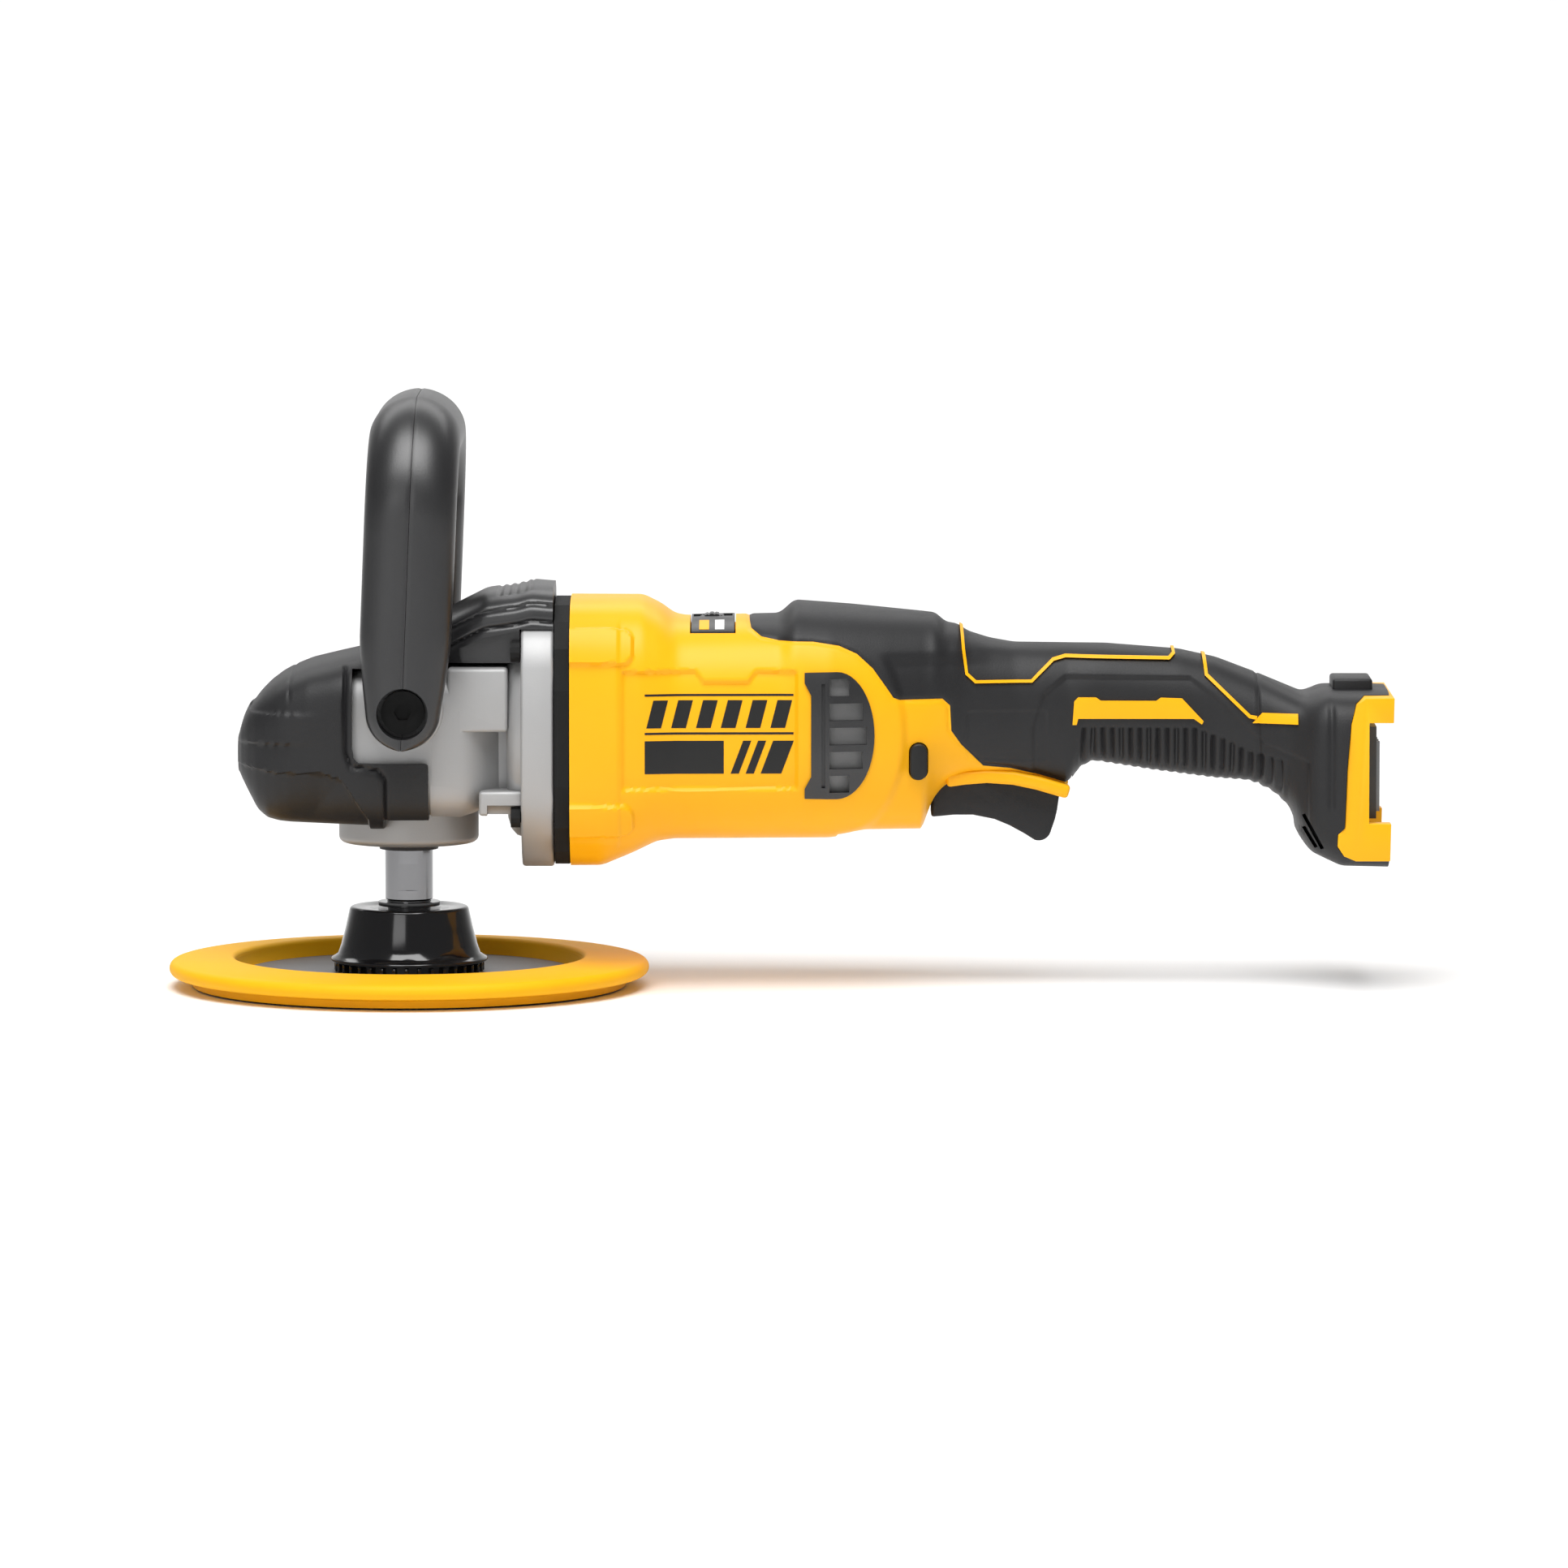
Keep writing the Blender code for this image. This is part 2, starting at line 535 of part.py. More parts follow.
def make_retainer_screw(name, angle):
    x, y = polar(RETAINER_SCREW_CIRCLE, angle)
    screw = rod(name, "Z", (x, y), 2.3, 66.8, 68.0, "steel", sides=10)
    join(screw, rod("shank", "Z", (x, y), 1.3, 67.5, 80.0, sides=8))


def make_bearing(name, axis, height, bore, radius, low, high):
    outline = [(radius, high), (radius, low), (bore, low), (bore, high)]
    return turned(name, outline, "steel", steps=24, axis=axis, height=height)


def make_spindle():
    outline = [(0.0, 114.5), (3.95, 114.5), (3.95, 104.0), (6.0, 103.0), (6.0, 89.5), (7.9, 89.0),
               (7.9, 76.5),
               (8.4, 76.0), (8.4, 54.5), (SHANK_RADIUS, 54.0), (SHANK_RADIUS, 32.2), (THREAD_RADIUS, 31.8),
               (THREAD_RADIUS, 14.5), (6.9, 13.5), (0.0, 13.5)]
    spindle = turned("spindle", outline, "chrome", steps=24)
    for side in (-1, 1):
        low, high = sorted((side * 8.0, side * 20.0))
        cut(spindle, box("flat", (-20.0, low, 36.0), (20.0, high, 46.0)))


def make_pad():
    """The hook face, the soft pad, its backing plate and the hub that screws onto the spindle."""
    hooks = [(0.0, 1.2), (79.5, 1.2), (79.8, 0.6), (79.5, 0.0), (0.0, 0.0)]
    turned("hook_face", hooks, "hook_black", steps=40)
    lip = arc((PAD_RADIUS - 2.6, 6.9), (2.6, 2.7), math.radians(70.0), math.radians(-80.0), 4)
    pad = [(0.0, 4.2), (62.8, 4.2), (64.4, 9.8), (66.0, 11.3), *lip, (81.0, 3.4), (80.0, 1.5), (0.0, 1.5)]
    turned("backing_pad", pad, "pad_foam", steps=40)
    turned("pad_plate", [(0.0, 5.3), (61.9, 5.3), (62.3, 4.5), (0.0, 4.5)], "grey_plate", steps=32)
    hub = [(0.0, 12.5), (8.1, 12.5), (8.1, 29.6), (21.0, 29.6), (22.2, 28.8), (23.6, 22.0), (26.2, 12.0),
           (28.9, 10.4), (29.1, 9.2), (25.8, 8.8), (25.6, 5.6), (0.0, 5.6)]
    turned("pad_hub", hub, "gloss_black", steps=28)
    washer = [(11.4, 31.4), (11.4, 29.9), (8.2, 29.9), (8.2, 31.4)]
    turned("hub_washer", washer, "black_plastic", steps=24)


def make_bevel_gear(name, teeth, radius, mate_radius, bore, back, web, finish, place, phase):
    """A straight bevel gear with its apex at the origin, turned into place.

    radius and mate_radius are the two pitch radii at the big end. back is how far the gear runs
    past its pitch circle along its axis, and web is how far the apex side is from the apex.
    """
    cone = math.atan2(radius, mate_radius)
    module = 2.0 * radius / teeth
    small = 0.72
    tip = (radius + 0.75 * module * math.cos(cone), mate_radius - 0.75 * module * math.sin(cone))
    root = (radius - 1.1 * module * math.cos(cone), mate_radius + 1.1 * module * math.sin(cone))
    pitch = 2 * math.pi / teeth
    offsets = [(-0.29, root), (-0.10, tip), (0.10, tip), (0.29, root)]

    def toothed(scale):
        return [(r * scale, a * scale, (tooth + offset) * pitch) for tooth in range(teeth)
                for offset, (r, a) in offsets]

    def plain(r, a):
        return [(r, a, (tooth + offset) * pitch) for tooth in range(teeth) for offset, _ in offsets]

    back_level = mate_radius + back
    neck = max(root[0] * small - 0.4, bore + 0.3)
    rings = [plain(bore, web), plain(neck, web), toothed(small), toothed(1.0),
             plain(root[0] - 0.2 * back, back_level), plain(bore, back_level)]
    rings = [[(r * math.cos(t + phase), r * math.sin(t + phase), a) for r, a, t in ring] for ring in rings]
    gear = skin(name, rings, finish, closed=True, smooth=False)
    gear.matrix_world = Matrix.Translation((0.0, 0.0, MOTOR_Z * MM)) @ place
    return gear


def make_gears():
    upside_down = Matrix.Rotation(math.pi, 4, "X")
    ring = make_bevel_gear("ring_gear", RING_TEETH, RING_RADIUS, PINION_RADIUS, 8.0, 9.0, 7.4, "steel",
                           upside_down, 0.0)
    for angle in range(4):
        x, y = polar(LOCK_PIN_Y, math.pi / 2 * angle)
        cut(ring, rod("lock_hole", "Z", (x, y), 2.4, 70.0, 95.0, sides=12))
    forward = Matrix.Rotation(math.pi / 2, 4, "Y")
    make_bevel_gear("pinion", PINION_TEETH, PINION_RADIUS, RING_RADIUS, 3.0, 4.0, 19.2, "steel",
                    forward, math.pi / PINION_TEETH)


def make_motor():
    """The rotor on its shaft, the fan, the stator around them and the two bearings."""
    shaft = [(0.0, 128.0), (3.9, 128.0), (3.9, 120.5), (4.9, 120.0), (4.9, 47.5), (3.9, 47.0), (3.9, 31.5),
             (2.8, 31.3), (2.8, 18.8), (0.0, 18.8)]
    turned("rotor_shaft", shaft, "steel", steps=16, axis="X", height=MOTOR_Z)
    turned("rotor_core", [(16.5, 101.0), (16.5, 67.0), (5.0, 67.0), (5.0, 101.0)], "steel", 20, "X", MOTOR_Z)
    turned("stator", [(30.0, 102.0), (30.0, 62.0), (17.2, 62.0), (17.2, 102.0)], "copper", 24, "X", MOTOR_Z)
    make_bearing("motor_bearing_front", "X", MOTOR_Z, 4.0, 13.0, 38.3, 46.5)
    make_bearing("motor_bearing_rear", "X", MOTOR_Z, 4.0, 11.0, 121.0, 128.0)
    plate = [(24.5, 107.0), (24.5, 105.0), (5.0, 105.0), (5.0, 116.0), (9.0, 116.0), (9.0, 107.0)]
    fan = turned("motor_fan", plate, "black_plastic", 24, "X", MOTOR_Z)
    for blade in range(7):
        vane = box("vane", (106.0, -0.8, 8.0), (114.0, 0.8, 24.0))
        turn = Matrix.Rotation(2 * math.pi * blade / 7, 4, "X")
        vane.matrix_world = Matrix.Translation((0.0, 0.0, MOTOR_Z * MM)) @ turn
        join(fan, vane)


def make_trigger():
    pivot_x, pivot_z = TRIGGER_PIVOT
    outline = [(196.0, 80.0), (195.8, 64.4), (209.0, 64.2), (217.0, 62.6), (228.0, 57.3),
               *arc((233.4, 59.2), 4.6, math.radians(-110.0), math.radians(-20.0), 5),
               (240.2, 66.0), (241.3, 74.0), (236.0, 80.0), (207.0, 80.0),
               *arc(TRIGGER_PIVOT, 4.6, 0.1, math.pi, 8)]
    trigger = prism("trigger", outline, "Y", -8.8, 8.8, "black_plastic")
    round_edges = trigger.modifiers.new("round", "BEVEL")
    round_edges.width = 1.2 * MM
    round_edges.segments = 2
    round_edges.angle_limit = math.radians(50.0)
    cut(trigger, rod("bore", "Y", (pivot_x, pivot_z), 2.05, -20.0, 20.0, sides=20))
    rod("trigger_pin", "Y", (pivot_x, pivot_z), 1.95, -10.5, 10.5, "steel", sides=20)


def make_switches():
    box("switch_module", (207.0, -8.0, 90.0), (240.0, 8.0, 112.0), "black_plastic")
    box("control_module", (136.0, -22.0, 70.0), (170.0, 22.0, 110.0), "grey_plate")
    prism("lock_button", pill_outline(0.0), "Y", -33.4, -22.0, "black_plastic")


def make_battery_mount():
    rail = prism("battery_rail", rail_outline(0.0), "Y", -35.0, 35.0, "yellow_plastic")
    slot = [(352.8, 63.4), (380.0, 63.4), (380.0, 99.8), (352.8, 99.8)]
    cut(rail, prism("slot", slot, "Y", -60.0, 60.0))
    cut(rail, box("mouth", (352.8, -27.0, 30.0), (380.0, 27.0, 70.0)))
    block = box("terminal_block", (353.1, -20.0, 64.0), (357.6, 20.0, 98.0), "black_plastic")
    for i in range(4):
        y = -12.0 + 8.0 * i
        cut(block, box("pocket", (355.0, y - 1.9, 60.0), (370.0, y + 1.9, 94.0)))
        box(f"terminal_blade_{i + 1}", (355.3, y - 0.5, 66.0), (359.2, y + 0.5, 92.0), "copper")


def handle_ring(front, y, z, direction, width, thickness, power, steps=8):
    """Half of the handle's section, square to its path in the YZ plane and closed along the seam."""
    across = (-math.sin(direction), math.cos(direction))
    ring = []
    for i in range(steps + 1):
        turn = math.pi * (i / steps - 0.5)
        x = max(width / 2 * rounded(math.cos(turn), power), GAP / 2)
        off = thickness / 2 * rounded(math.sin(turn), power)
        ring.append((-x if front else x, y + across[0] * off, z + across[1] * off))
    return ring


def handle_path():
    """(y, z, direction, width, thickness, squareness) from the left leg's end to the right one's."""
    turns = [0.4, 0.75, 1.1, 1.45]
    leg = [(-HANDLE_END * math.cos(turn), 17.0, 2 * HANDLE_END * math.sin(turn)) for turn in turns]
    leg += [(6.0, 17.0, 29.2), (25.0, 18.0, 33.4), (64.0, 24.0, HANDLE_WIDTH)]
    rise = HANDLE_TOP - PIVOT[1]
    up = [(thick / 2 - HANDLE_HALF_WIDTH, level, math.pi / 2, wide, thick, 2.9) for level, thick, wide in leg]
    corner, bar = 28.0, 30.0
    turn_y, turn_z = -(HANDLE_HALF_WIDTH - 12.0 - corner), rise - bar / 2 - corner
    bend = []
    for i in range(6):
        angle = math.pi - math.pi / 2 * i / 5
        bend.append((turn_y + corner * math.cos(angle), turn_z + corner * math.sin(angle),
                     angle - math.pi / 2, HANDLE_WIDTH, 24.0 + (bar - 24.0) * i / 5, 2.9 - 0.8 * i / 5))
    left = up + bend
    right = [(-y, z, -direction, *rest) for y, z, direction, *rest in reversed(left)]
    return left + right


def make_handle_half(name, front):
    """Half of the bail handle, in front of or behind the seam that runs along it."""
    half = skin(name, [handle_ring(front, *station) for station in handle_path()], "black_plastic")
    for side in (-1, 1):
        ends = sorted((side * (HANDLE_HALF_WIDTH - 12.0), side * 90.0))
        cut(half, rod("recess", "Y", (0.0, 0.0), 9.4, ends[0], ends[1], sides=24))
        ends = sorted((side * 40.0, side * 90.0))
        cut(half, rod("bore", "Y", (0.0, 0.0), 5.1, ends[0], ends[1], sides=16))
    lean = Matrix.Rotation(HANDLE_LEAN, 4, "Y")
    place = Matrix.Translation((PIVOT[0] * MM, 0.0, PIVOT[1] * MM)) @ lean
    half.matrix_world = place
    for modifier in half.modifiers:
        modifier.object.matrix_world = place


def make_handle_bolt(name, side):
    head = sorted((side * (HANDLE_HALF_WIDTH - 11.7), side * (HANDLE_HALF_WIDTH - 8.2)))
    bolt = rod(name, "Y", PIVOT, 8.0, head[0], head[1], "steel", sides=20)
    shank = sorted((side * 36.0, side * (HANDLE_HALF_WIDTH - 10.4)))
    join(bolt, rod("shank", "Y", PIVOT, 4.0, shank[0], shank[1], sides=12))
    socket = sorted((side * (HANDLE_HALF_WIDTH - 9.8), side * 80.0))
    cut(bolt, rod("socket", "Y", PIVOT, 3.2, socket[0], socket[1], sides=6))


def make_lock_pin():
    button = rod("spindle_lock_button", "Z", (0.0, LOCK_PIN_Y), 6.4, 124.2, 131.5, "black_plastic", sides=20)
    join(button, rod("pin", "Z", (0.0, LOCK_PIN_Y), 1.9, 89.6, 126.0, sides=8))


def make_all():
    make_pad()
    make_spindle()
    turned("dust_collar", [(10.9, 53.0), (10.9, 51.0), (9.0, 51.0), (9.0, 53.0)], "black_rubber", steps=24)
    make_retainer()
    for i in range(4):
        make_retainer_screw(f"retainer_screw_{i + 1}", math.pi / 4 + i * math.pi / 2)
    make_bearing("spindle_bearing_lower", "Z", 0.0, 8.5, 20.0, 57.0, 69.0)
    make_bearing("spindle_bearing_upper", "Z", 0.0, 4.05, 11.0, 108.0, 115.0)
    make_gears()
    make_gear_case()
    make_gear_case_cover()
    make_top_shroud()
    make_gasket_plate()
    for i, (y, z) in enumerate(FLANGE_SCREWS):
        make_flange_screw(f"flange_screw_{i + 1}", y, z)
    make_motor()
    for side in (-1, 1):
        make_housing(side)
        make_grip(side)
        make_vent_shield(side)
        make_vent_mesh(side)
        make_handle_bolt(f"handle_bolt_{side_name(side)}", side)
    for i, (x, z) in enumerate(SHELL_SCREWS):
        make_shell_screw(f"shell_screw_{i + 1}", x, z)
    make_dial()
    make_trigger()
    make_switches()
    make_battery_mount()
    make_handle_half("bail_handle_front", True)
    make_handle_half("bail_handle_rear", False)
    make_lock_pin()


clear_scene()
PARTS = new_collection("rotary_polisher")
CUTTERS = new_collection("cutters", hidden=True)
make_all()
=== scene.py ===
"""The looks of the rotary polisher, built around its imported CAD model.

Shapes are drawn in millimetres in the model's own frame and scaled to metres when a mesh is made.
+Z runs up the spindle, +X along the body to the battery foot, and the left side, which the camera
sees, is -Y.
"""

import json
import math

import bpy
import bmesh
import numpy as np
from mathutils import Matrix, Vector

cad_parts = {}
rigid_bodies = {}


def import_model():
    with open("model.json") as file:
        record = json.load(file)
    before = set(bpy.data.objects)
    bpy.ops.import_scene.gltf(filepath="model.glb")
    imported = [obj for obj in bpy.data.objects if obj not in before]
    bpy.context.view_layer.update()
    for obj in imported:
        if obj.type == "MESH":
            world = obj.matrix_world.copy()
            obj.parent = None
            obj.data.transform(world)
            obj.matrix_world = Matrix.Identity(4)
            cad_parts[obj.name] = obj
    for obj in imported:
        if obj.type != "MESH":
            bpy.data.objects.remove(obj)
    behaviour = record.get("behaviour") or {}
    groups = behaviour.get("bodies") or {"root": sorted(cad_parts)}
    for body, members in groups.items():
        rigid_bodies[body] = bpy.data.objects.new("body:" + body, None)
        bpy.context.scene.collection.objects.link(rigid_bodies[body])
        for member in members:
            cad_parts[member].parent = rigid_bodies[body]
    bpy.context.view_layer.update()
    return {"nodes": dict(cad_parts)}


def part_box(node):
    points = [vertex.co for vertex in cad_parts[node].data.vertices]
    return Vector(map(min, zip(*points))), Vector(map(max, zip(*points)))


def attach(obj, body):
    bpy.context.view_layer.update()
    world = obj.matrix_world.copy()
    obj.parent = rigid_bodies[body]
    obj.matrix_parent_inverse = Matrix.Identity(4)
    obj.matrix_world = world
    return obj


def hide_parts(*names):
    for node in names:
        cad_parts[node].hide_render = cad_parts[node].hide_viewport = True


MM = 0.001
SIDES = {"left": -1, "right": 1}

# The camera stands level with the work, square to the left side.
CAMERA_TARGET = (0.1391, 0.0, 0.0749)
CAMERA_DISTANCE = 4.0
CAMERA_ELEVATION = math.radians(5.4)
CAMERA_LENS = 247.7

# Sizes that several pieces share, in millimetres.
GAP = 0.3
HAIRLINE = 0.04
SHELL_WALL = 2.6
MOTOR_Z = 96.2
PAD_RADIUS = 89.0
HOUSING_FRONT = 60.4
BODY_BACK = 362.0
PIVOT = (-0.2, 106.4)
HANDLE_TOP = 220.5
HANDLE_HALF_WIDTH = 65.0
HANDLE_WIDTH = 33.6
HANDLE_END = 13.6
HANDLE_LEAN = math.radians(2.3)
RETAINER_RADIUS = 25.9
DIAL_X = 112.9
VENT_CENTRE = (158.5, MOTOR_Z)
SHELL_SCREWS = [(88.0, 134.5), (119.0, 63.5), (186.0, 126.0), (290.0, 110.0)]
RIB_PITCH = 3.4
FOOT_FOLD = 340.4
RAIL_TOP = 109.8
SEAM_X = 314.0

# The body's side silhouette and plan, each as (x, value) points along its length.
BODY_TOP = [(60.4, 145.0), (87.0, 145.0), (93.6, 141.8), (98.5, 138.2), (102.8, 137.3), (137.5, 138.2),
            (143.0, 143.2), (164.0, 141.7), (190.0, 139.2), (195.4, 138.6), (198.6, 135.3), (203.7, 134.4),
            (207.0, 131.9), (215.0, 129.4), (224.0, 127.8), (258.0, 127.4), (285.0, 125.3), (299.0, 122.2),
            (314.0, 116.5), (331.0, 109.0), (334.8, 110.0), (338.0, 111.3), (355.7, 111.3), (362.0, 111.0)]
BODY_BOTTOM = [(60.4, 45.8), (72.0, 45.8), (83.0, 50.3), (92.0, 54.6), (98.5, 55.5), (156.0, 55.6),
               (165.0, 57.0), (191.5, 57.2), (194.6, 67.5), (199.0, 73.4), (208.0, 75.8), (225.0, 76.0),
               (234.0, 74.5), (244.6, 72.3), (246.0, 76.5), (249.0, 80.5), (253.5, 83.0), (275.0, 79.6),
               (298.0, 76.6), (311.0, 75.7), (319.0, 72.4), (326.0, 66.3), (328.5, 58.3), (333.5, 51.2),
               (344.8, 46.0), (362.0, 45.6)]
BODY_WIDTH = [(60.4, 44.0), (87.0, 44.0), (100.0, 41.5), (156.0, 40.5), (176.0, 36.0), (190.0, 32.0),
              (206.0, 26.0), (225.0, 22.0), (245.0, 20.0), (299.0, 20.0), (314.0, 21.5), (326.0, 27.0),
              (335.0, 34.0), (345.0, 36.0), (362.0, 36.0)]
BODY_POWER = [(60.4, 3.4), (100.0, 2.9), (176.0, 2.6), (225.0, 2.4), (314.0, 2.4), (340.0, 4.5), (362.0, 4.5)]
# Where the yellow shell ends and the black grip starts.
COLOUR_SPLIT = [(125.6, 155.0), (125.6, 140.1), (127.0, 134.8), (130.8, 132.0), (137.4, 130.7),
                (149.7, 130.5), (159.2, 129.0), (165.9, 126.0), (171.7, 120.7), (176.5, 114.0),
                (179.3, 109.9), (181.6, 109.0), (197.4, 109.0), (200.2, 106.4), (200.7, 97.0),
                (204.4, 91.7), (212.6, 83.4), (222.7, 82.3), (233.4, 79.7), (244.6, 76.2)]
# The nose cover: (x, half width, bottom, top).
COVER_STATIONS = [(-62.2, 20.0, 80.5, 93.0), (-61.4, 27.0, 78.5, 98.0), (-58.5, 33.0, 72.5, 104.2),
                  (-55.0, 37.5, 65.5, 108.8), (-51.5, 40.0, 62.4, 112.4), (-47.0, 42.0, 61.2, 115.8),
                  (-43.0, 43.3, 60.8, 118.0), (-36.0, 44.6, 60.5, 120.8), (-26.0, 45.6, 60.3, 123.2),
                  (-17.0, 46.0, 60.2, 125.2), (10.0, 45.0, 60.2, 126.2)]
COVER_POWER = 4.6
# The region below the nose's lower facet, and the groove that sets off its rear lip.
NOSE_LOWER = [(-80.0, 86.0), (-60.9, 84.8), (-47.8, 82.6), (-30.0, 82.6), (-23.3, 80.2), (-13.5, 64.9),
              (-13.5, 40.0), (-80.0, 40.0)]
NOSE_LIP = [(-21.8, 121.0), (-21.8, 91.0), (-19.8, 85.6), (-9.6, 83.6), (-7.2, 80.6), (-7.2, 58.0)]

# Moulded detail on the side of the body, as outlines in X and Z.
PANEL = [(79.9, 76.5), (143.7, 76.5), (143.7, 120.0), (128.8, 120.1), (125.9, 116.2), (109.6, 116.2),
         (106.6, 120.1), (79.9, 120.1)]
PALM = [(231.0, 60.0), (231.0, 98.0), (235.0, 110.0), (243.0, 116.5), (289.0, 116.0), (296.0, 110.5),
        (316.0, 92.0), (332.0, 86.0), (332.0, 60.0)]
RIB_FIELD = [(248.0, 60.0), (248.0, 97.5), (291.0, 97.5), (301.0, 93.5), (311.0, 88.5), (324.0, 85.5),
             (324.0, 60.0)]
STRIPE_TOP = [(204.6, 136.0), (205.2, 127.0), (206.4, 117.9), (209.7, 114.9), (230.4, 114.9), (233.4, 117.9),
              (238.4, 122.6), (242.9, 123.8), (281.2, 122.9), (283.0, 124.6), (282.4, 129.0)]
STRIPE_BACK = [(294.0, 126.0), (294.9, 117.1), (310.8, 101.9), (313.4, 101.4)]
BAR_BACK = [(311.8, 99.5), (328.3, 99.5), (328.3, 103.3), (315.4, 103.3)]
STRIP = [(247.0, 98.6), (247.6, 100.9), (290.2, 100.9), (293.2, 98.8), (293.8, 100.0), (285.9, 108.4),
         (278.1, 108.7), (276.3, 107.5), (255.9, 107.6), (254.1, 108.8), (247.6, 108.8), (246.1, 107.3),
         (245.5, 98.6)]
# The slots under the foot, and the yellow lip above the trigger.
FOOT_SLOTS = [[(330.4, 66.4), (337.4, 53.6)], [(330.6, 61.6), (335.2, 54.0)]]
TRIGGER_LIP = [(199.0, 77.6), (206.0, 78.6), (214.0, 79.2), (224.0, 78.5), (233.0, 76.6), (244.4, 73.2)]


# ---------------------------------------------------------------- meshes


def add_mesh(name, points, faces, finish, sharp=40.0):
    """A mesh from points in millimetres, with outward normals and edges over sharp degrees kept crisp."""
    mesh = bpy.data.meshes.new(name)
    mesh.from_pydata((np.asarray(points, float) * MM).tolist(), [], [list(face) for face in faces])
    obj = bpy.data.objects.new(name, mesh)
    bpy.context.scene.collection.objects.link(obj)
    if finish:
        mesh.materials.append(material(finish))
    tidy_normals(obj)
    shade(obj, sharp)
    return obj


def tidy_normals(obj):
    bm = bmesh.new()
    bm.from_mesh(obj.data)
    bmesh.ops.recalc_face_normals(bm, faces=bm.faces)
    bm.to_mesh(obj.data)
    bm.free()


def shade(obj, sharp=40.0):
    obj.data.shade_smooth()
    obj.data.set_sharp_from_angle(angle=math.radians(sharp))


def quads(rows, columns, wrap=True):
    i = np.arange(rows - 1)[:, None]
    j = np.arange(columns if wrap else columns - 1)[None, :]
    right = (j + 1) % columns
    corners = (i * columns + j, i * columns + right, (i + 1) * columns + right, (i + 1) * columns + j)
    return np.stack(np.broadcast_arrays(*corners), -1).reshape(-1, 4).tolist()


def loft(name, rings, finish=None, sharp=40.0):
    """A closed skin through rings of equally many points."""
    rings = np.asarray(rings, float)
    rows, columns = rings.shape[:2]
    first = list(range(columns))
    last = [(rows - 1) * columns + j for j in range(columns)]
    return add_mesh(name, rings.reshape(-1, 3), quads(rows, columns) + [first[::-1], last], finish, sharp)


def prism(name, outline, axis, low, high, finish=None):
    """An outline in the two other axes, in X, Y, Z order, extruded from low to high."""
    order = {"X": (2, 0, 1), "Y": (0, 2, 1), "Z": (0, 1, 2)}[axis]
    rings = []
    for level in sorted((low, high)):
        flat = [(a, b, level) for a, b in outline]
        rings.append([[point[k] for k in order] for point in flat])
    return loft(name, rings, finish)


def box(name, low, high):
    outline = [(low[0], low[1]), (high[0], low[1]), (high[0], high[1]), (low[0], high[1])]
    return prism(name, outline, "Z", low[2], high[2])


def circle(centre, radius, sides=48):
    turns = [2 * math.pi * i / sides for i in range(sides)]
    return [(centre[0] + radius * math.cos(turn), centre[1] + radius * math.sin(turn)) for turn in turns]


def rod(name, axis, centre, radius, low, high, finish=None, sides=48):
    return prism(name, circle(centre, radius, sides), axis, low, high, finish)


def lathe(name, outline, finish=None, steps=128, axis="Z", height=0.0):
    """A closed outline of (radius, level) points turned round an axis."""
    turns = np.linspace(0.0, 2 * math.pi, steps, endpoint=False)
    points = []
    for turn in turns:
        for radius, level in outline:
            a, b = radius * math.cos(turn), radius * math.sin(turn)
            points.append((a, b, level + height) if axis == "Z" else (level, a, b + height))
    count = len(outline)
    faces = []
    for i in range(steps):
        for j in range(count):
            k, n = (j + 1) % count, (i + 1) % steps
            if outline[j][0] > 1e-6 or outline[k][0] > 1e-6:
                faces.append((i * count + j, i * count + k, n * count + k, n * count + j))
    obj = add_mesh(name, points, faces, finish)
    bm = bmesh.new()
    bm.from_mesh(obj.data)
    bmesh.ops.remove_doubles(bm, verts=bm.verts, dist=1e-7)
    bmesh.ops.recalc_face_normals(bm, faces=bm.faces)
    bm.to_mesh(obj.data)
    bm.free()
    shade(obj)
    return obj


def combine(obj, tool, how):
    """Cuts, keeps or joins with a closed tool, and leaves a plain mesh."""
    modifier = obj.modifiers.new(how, "BOOLEAN")
    modifier.operation = how
    modifier.solver = "MANIFOLD"
    modifier.object = tool
    bake(obj)
    bpy.data.objects.remove(tool, do_unlink=True)
    return obj


def bake(obj, sharp=40.0):
    """Turns an object's modifiers into its mesh."""
    graph = bpy.context.evaluated_depsgraph_get()
    graph.update()
    mesh = bpy.data.meshes.new_from_object(obj.evaluated_get(graph))
    obj.modifiers.clear()
    obj.data = mesh
    shade(obj, sharp)


def cut(obj, *tools):
    for tool in tools:
        combine(obj, tool, "DIFFERENCE")
    return obj


def keep(obj, tool):
    return combine(obj, tool, "INTERSECT")


def join(obj, *others):
    for other in others:
        combine(obj, other, "UNION")
    return obj


def copy_of(obj, name):
    made = obj.copy()
    made.data = obj.data.copy()
    made.name = name
    bpy.context.scene.collection.objects.link(made)
    return made


def soften(obj, width, segments=3, angle=40.0):
    """Rounds an object's hard edges, with the width in millimetres."""
    bevel = obj.modifiers.new("round", "BEVEL")
    bevel.width = width * MM
    bevel.segments = segments
    bevel.limit_method = "ANGLE"
    bevel.angle_limit = math.radians(angle)
    bake(obj)
    return obj


def place(obj, body, *nodes, finish=None, slot=None):
    """Gives a finished piece its material, its body and the CAD nodes that it stands for."""
    if finish:
        obj.data.materials.clear()
        obj.data.materials.append(material(finish))
    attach(obj, body)
    if nodes:
        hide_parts(*nodes)
    return obj


# ---------------------------------------------------------------- outlines and curves


def arc(centre, radius, start, end, steps):
    wide, high = radius if isinstance(radius, tuple) else (radius, radius)
    turns = [math.radians(start + (end - start) * i / steps) for i in range(steps + 1)]
    return [(centre[0] + wide * math.cos(turn), centre[1] + high * math.sin(turn)) for turn in turns]


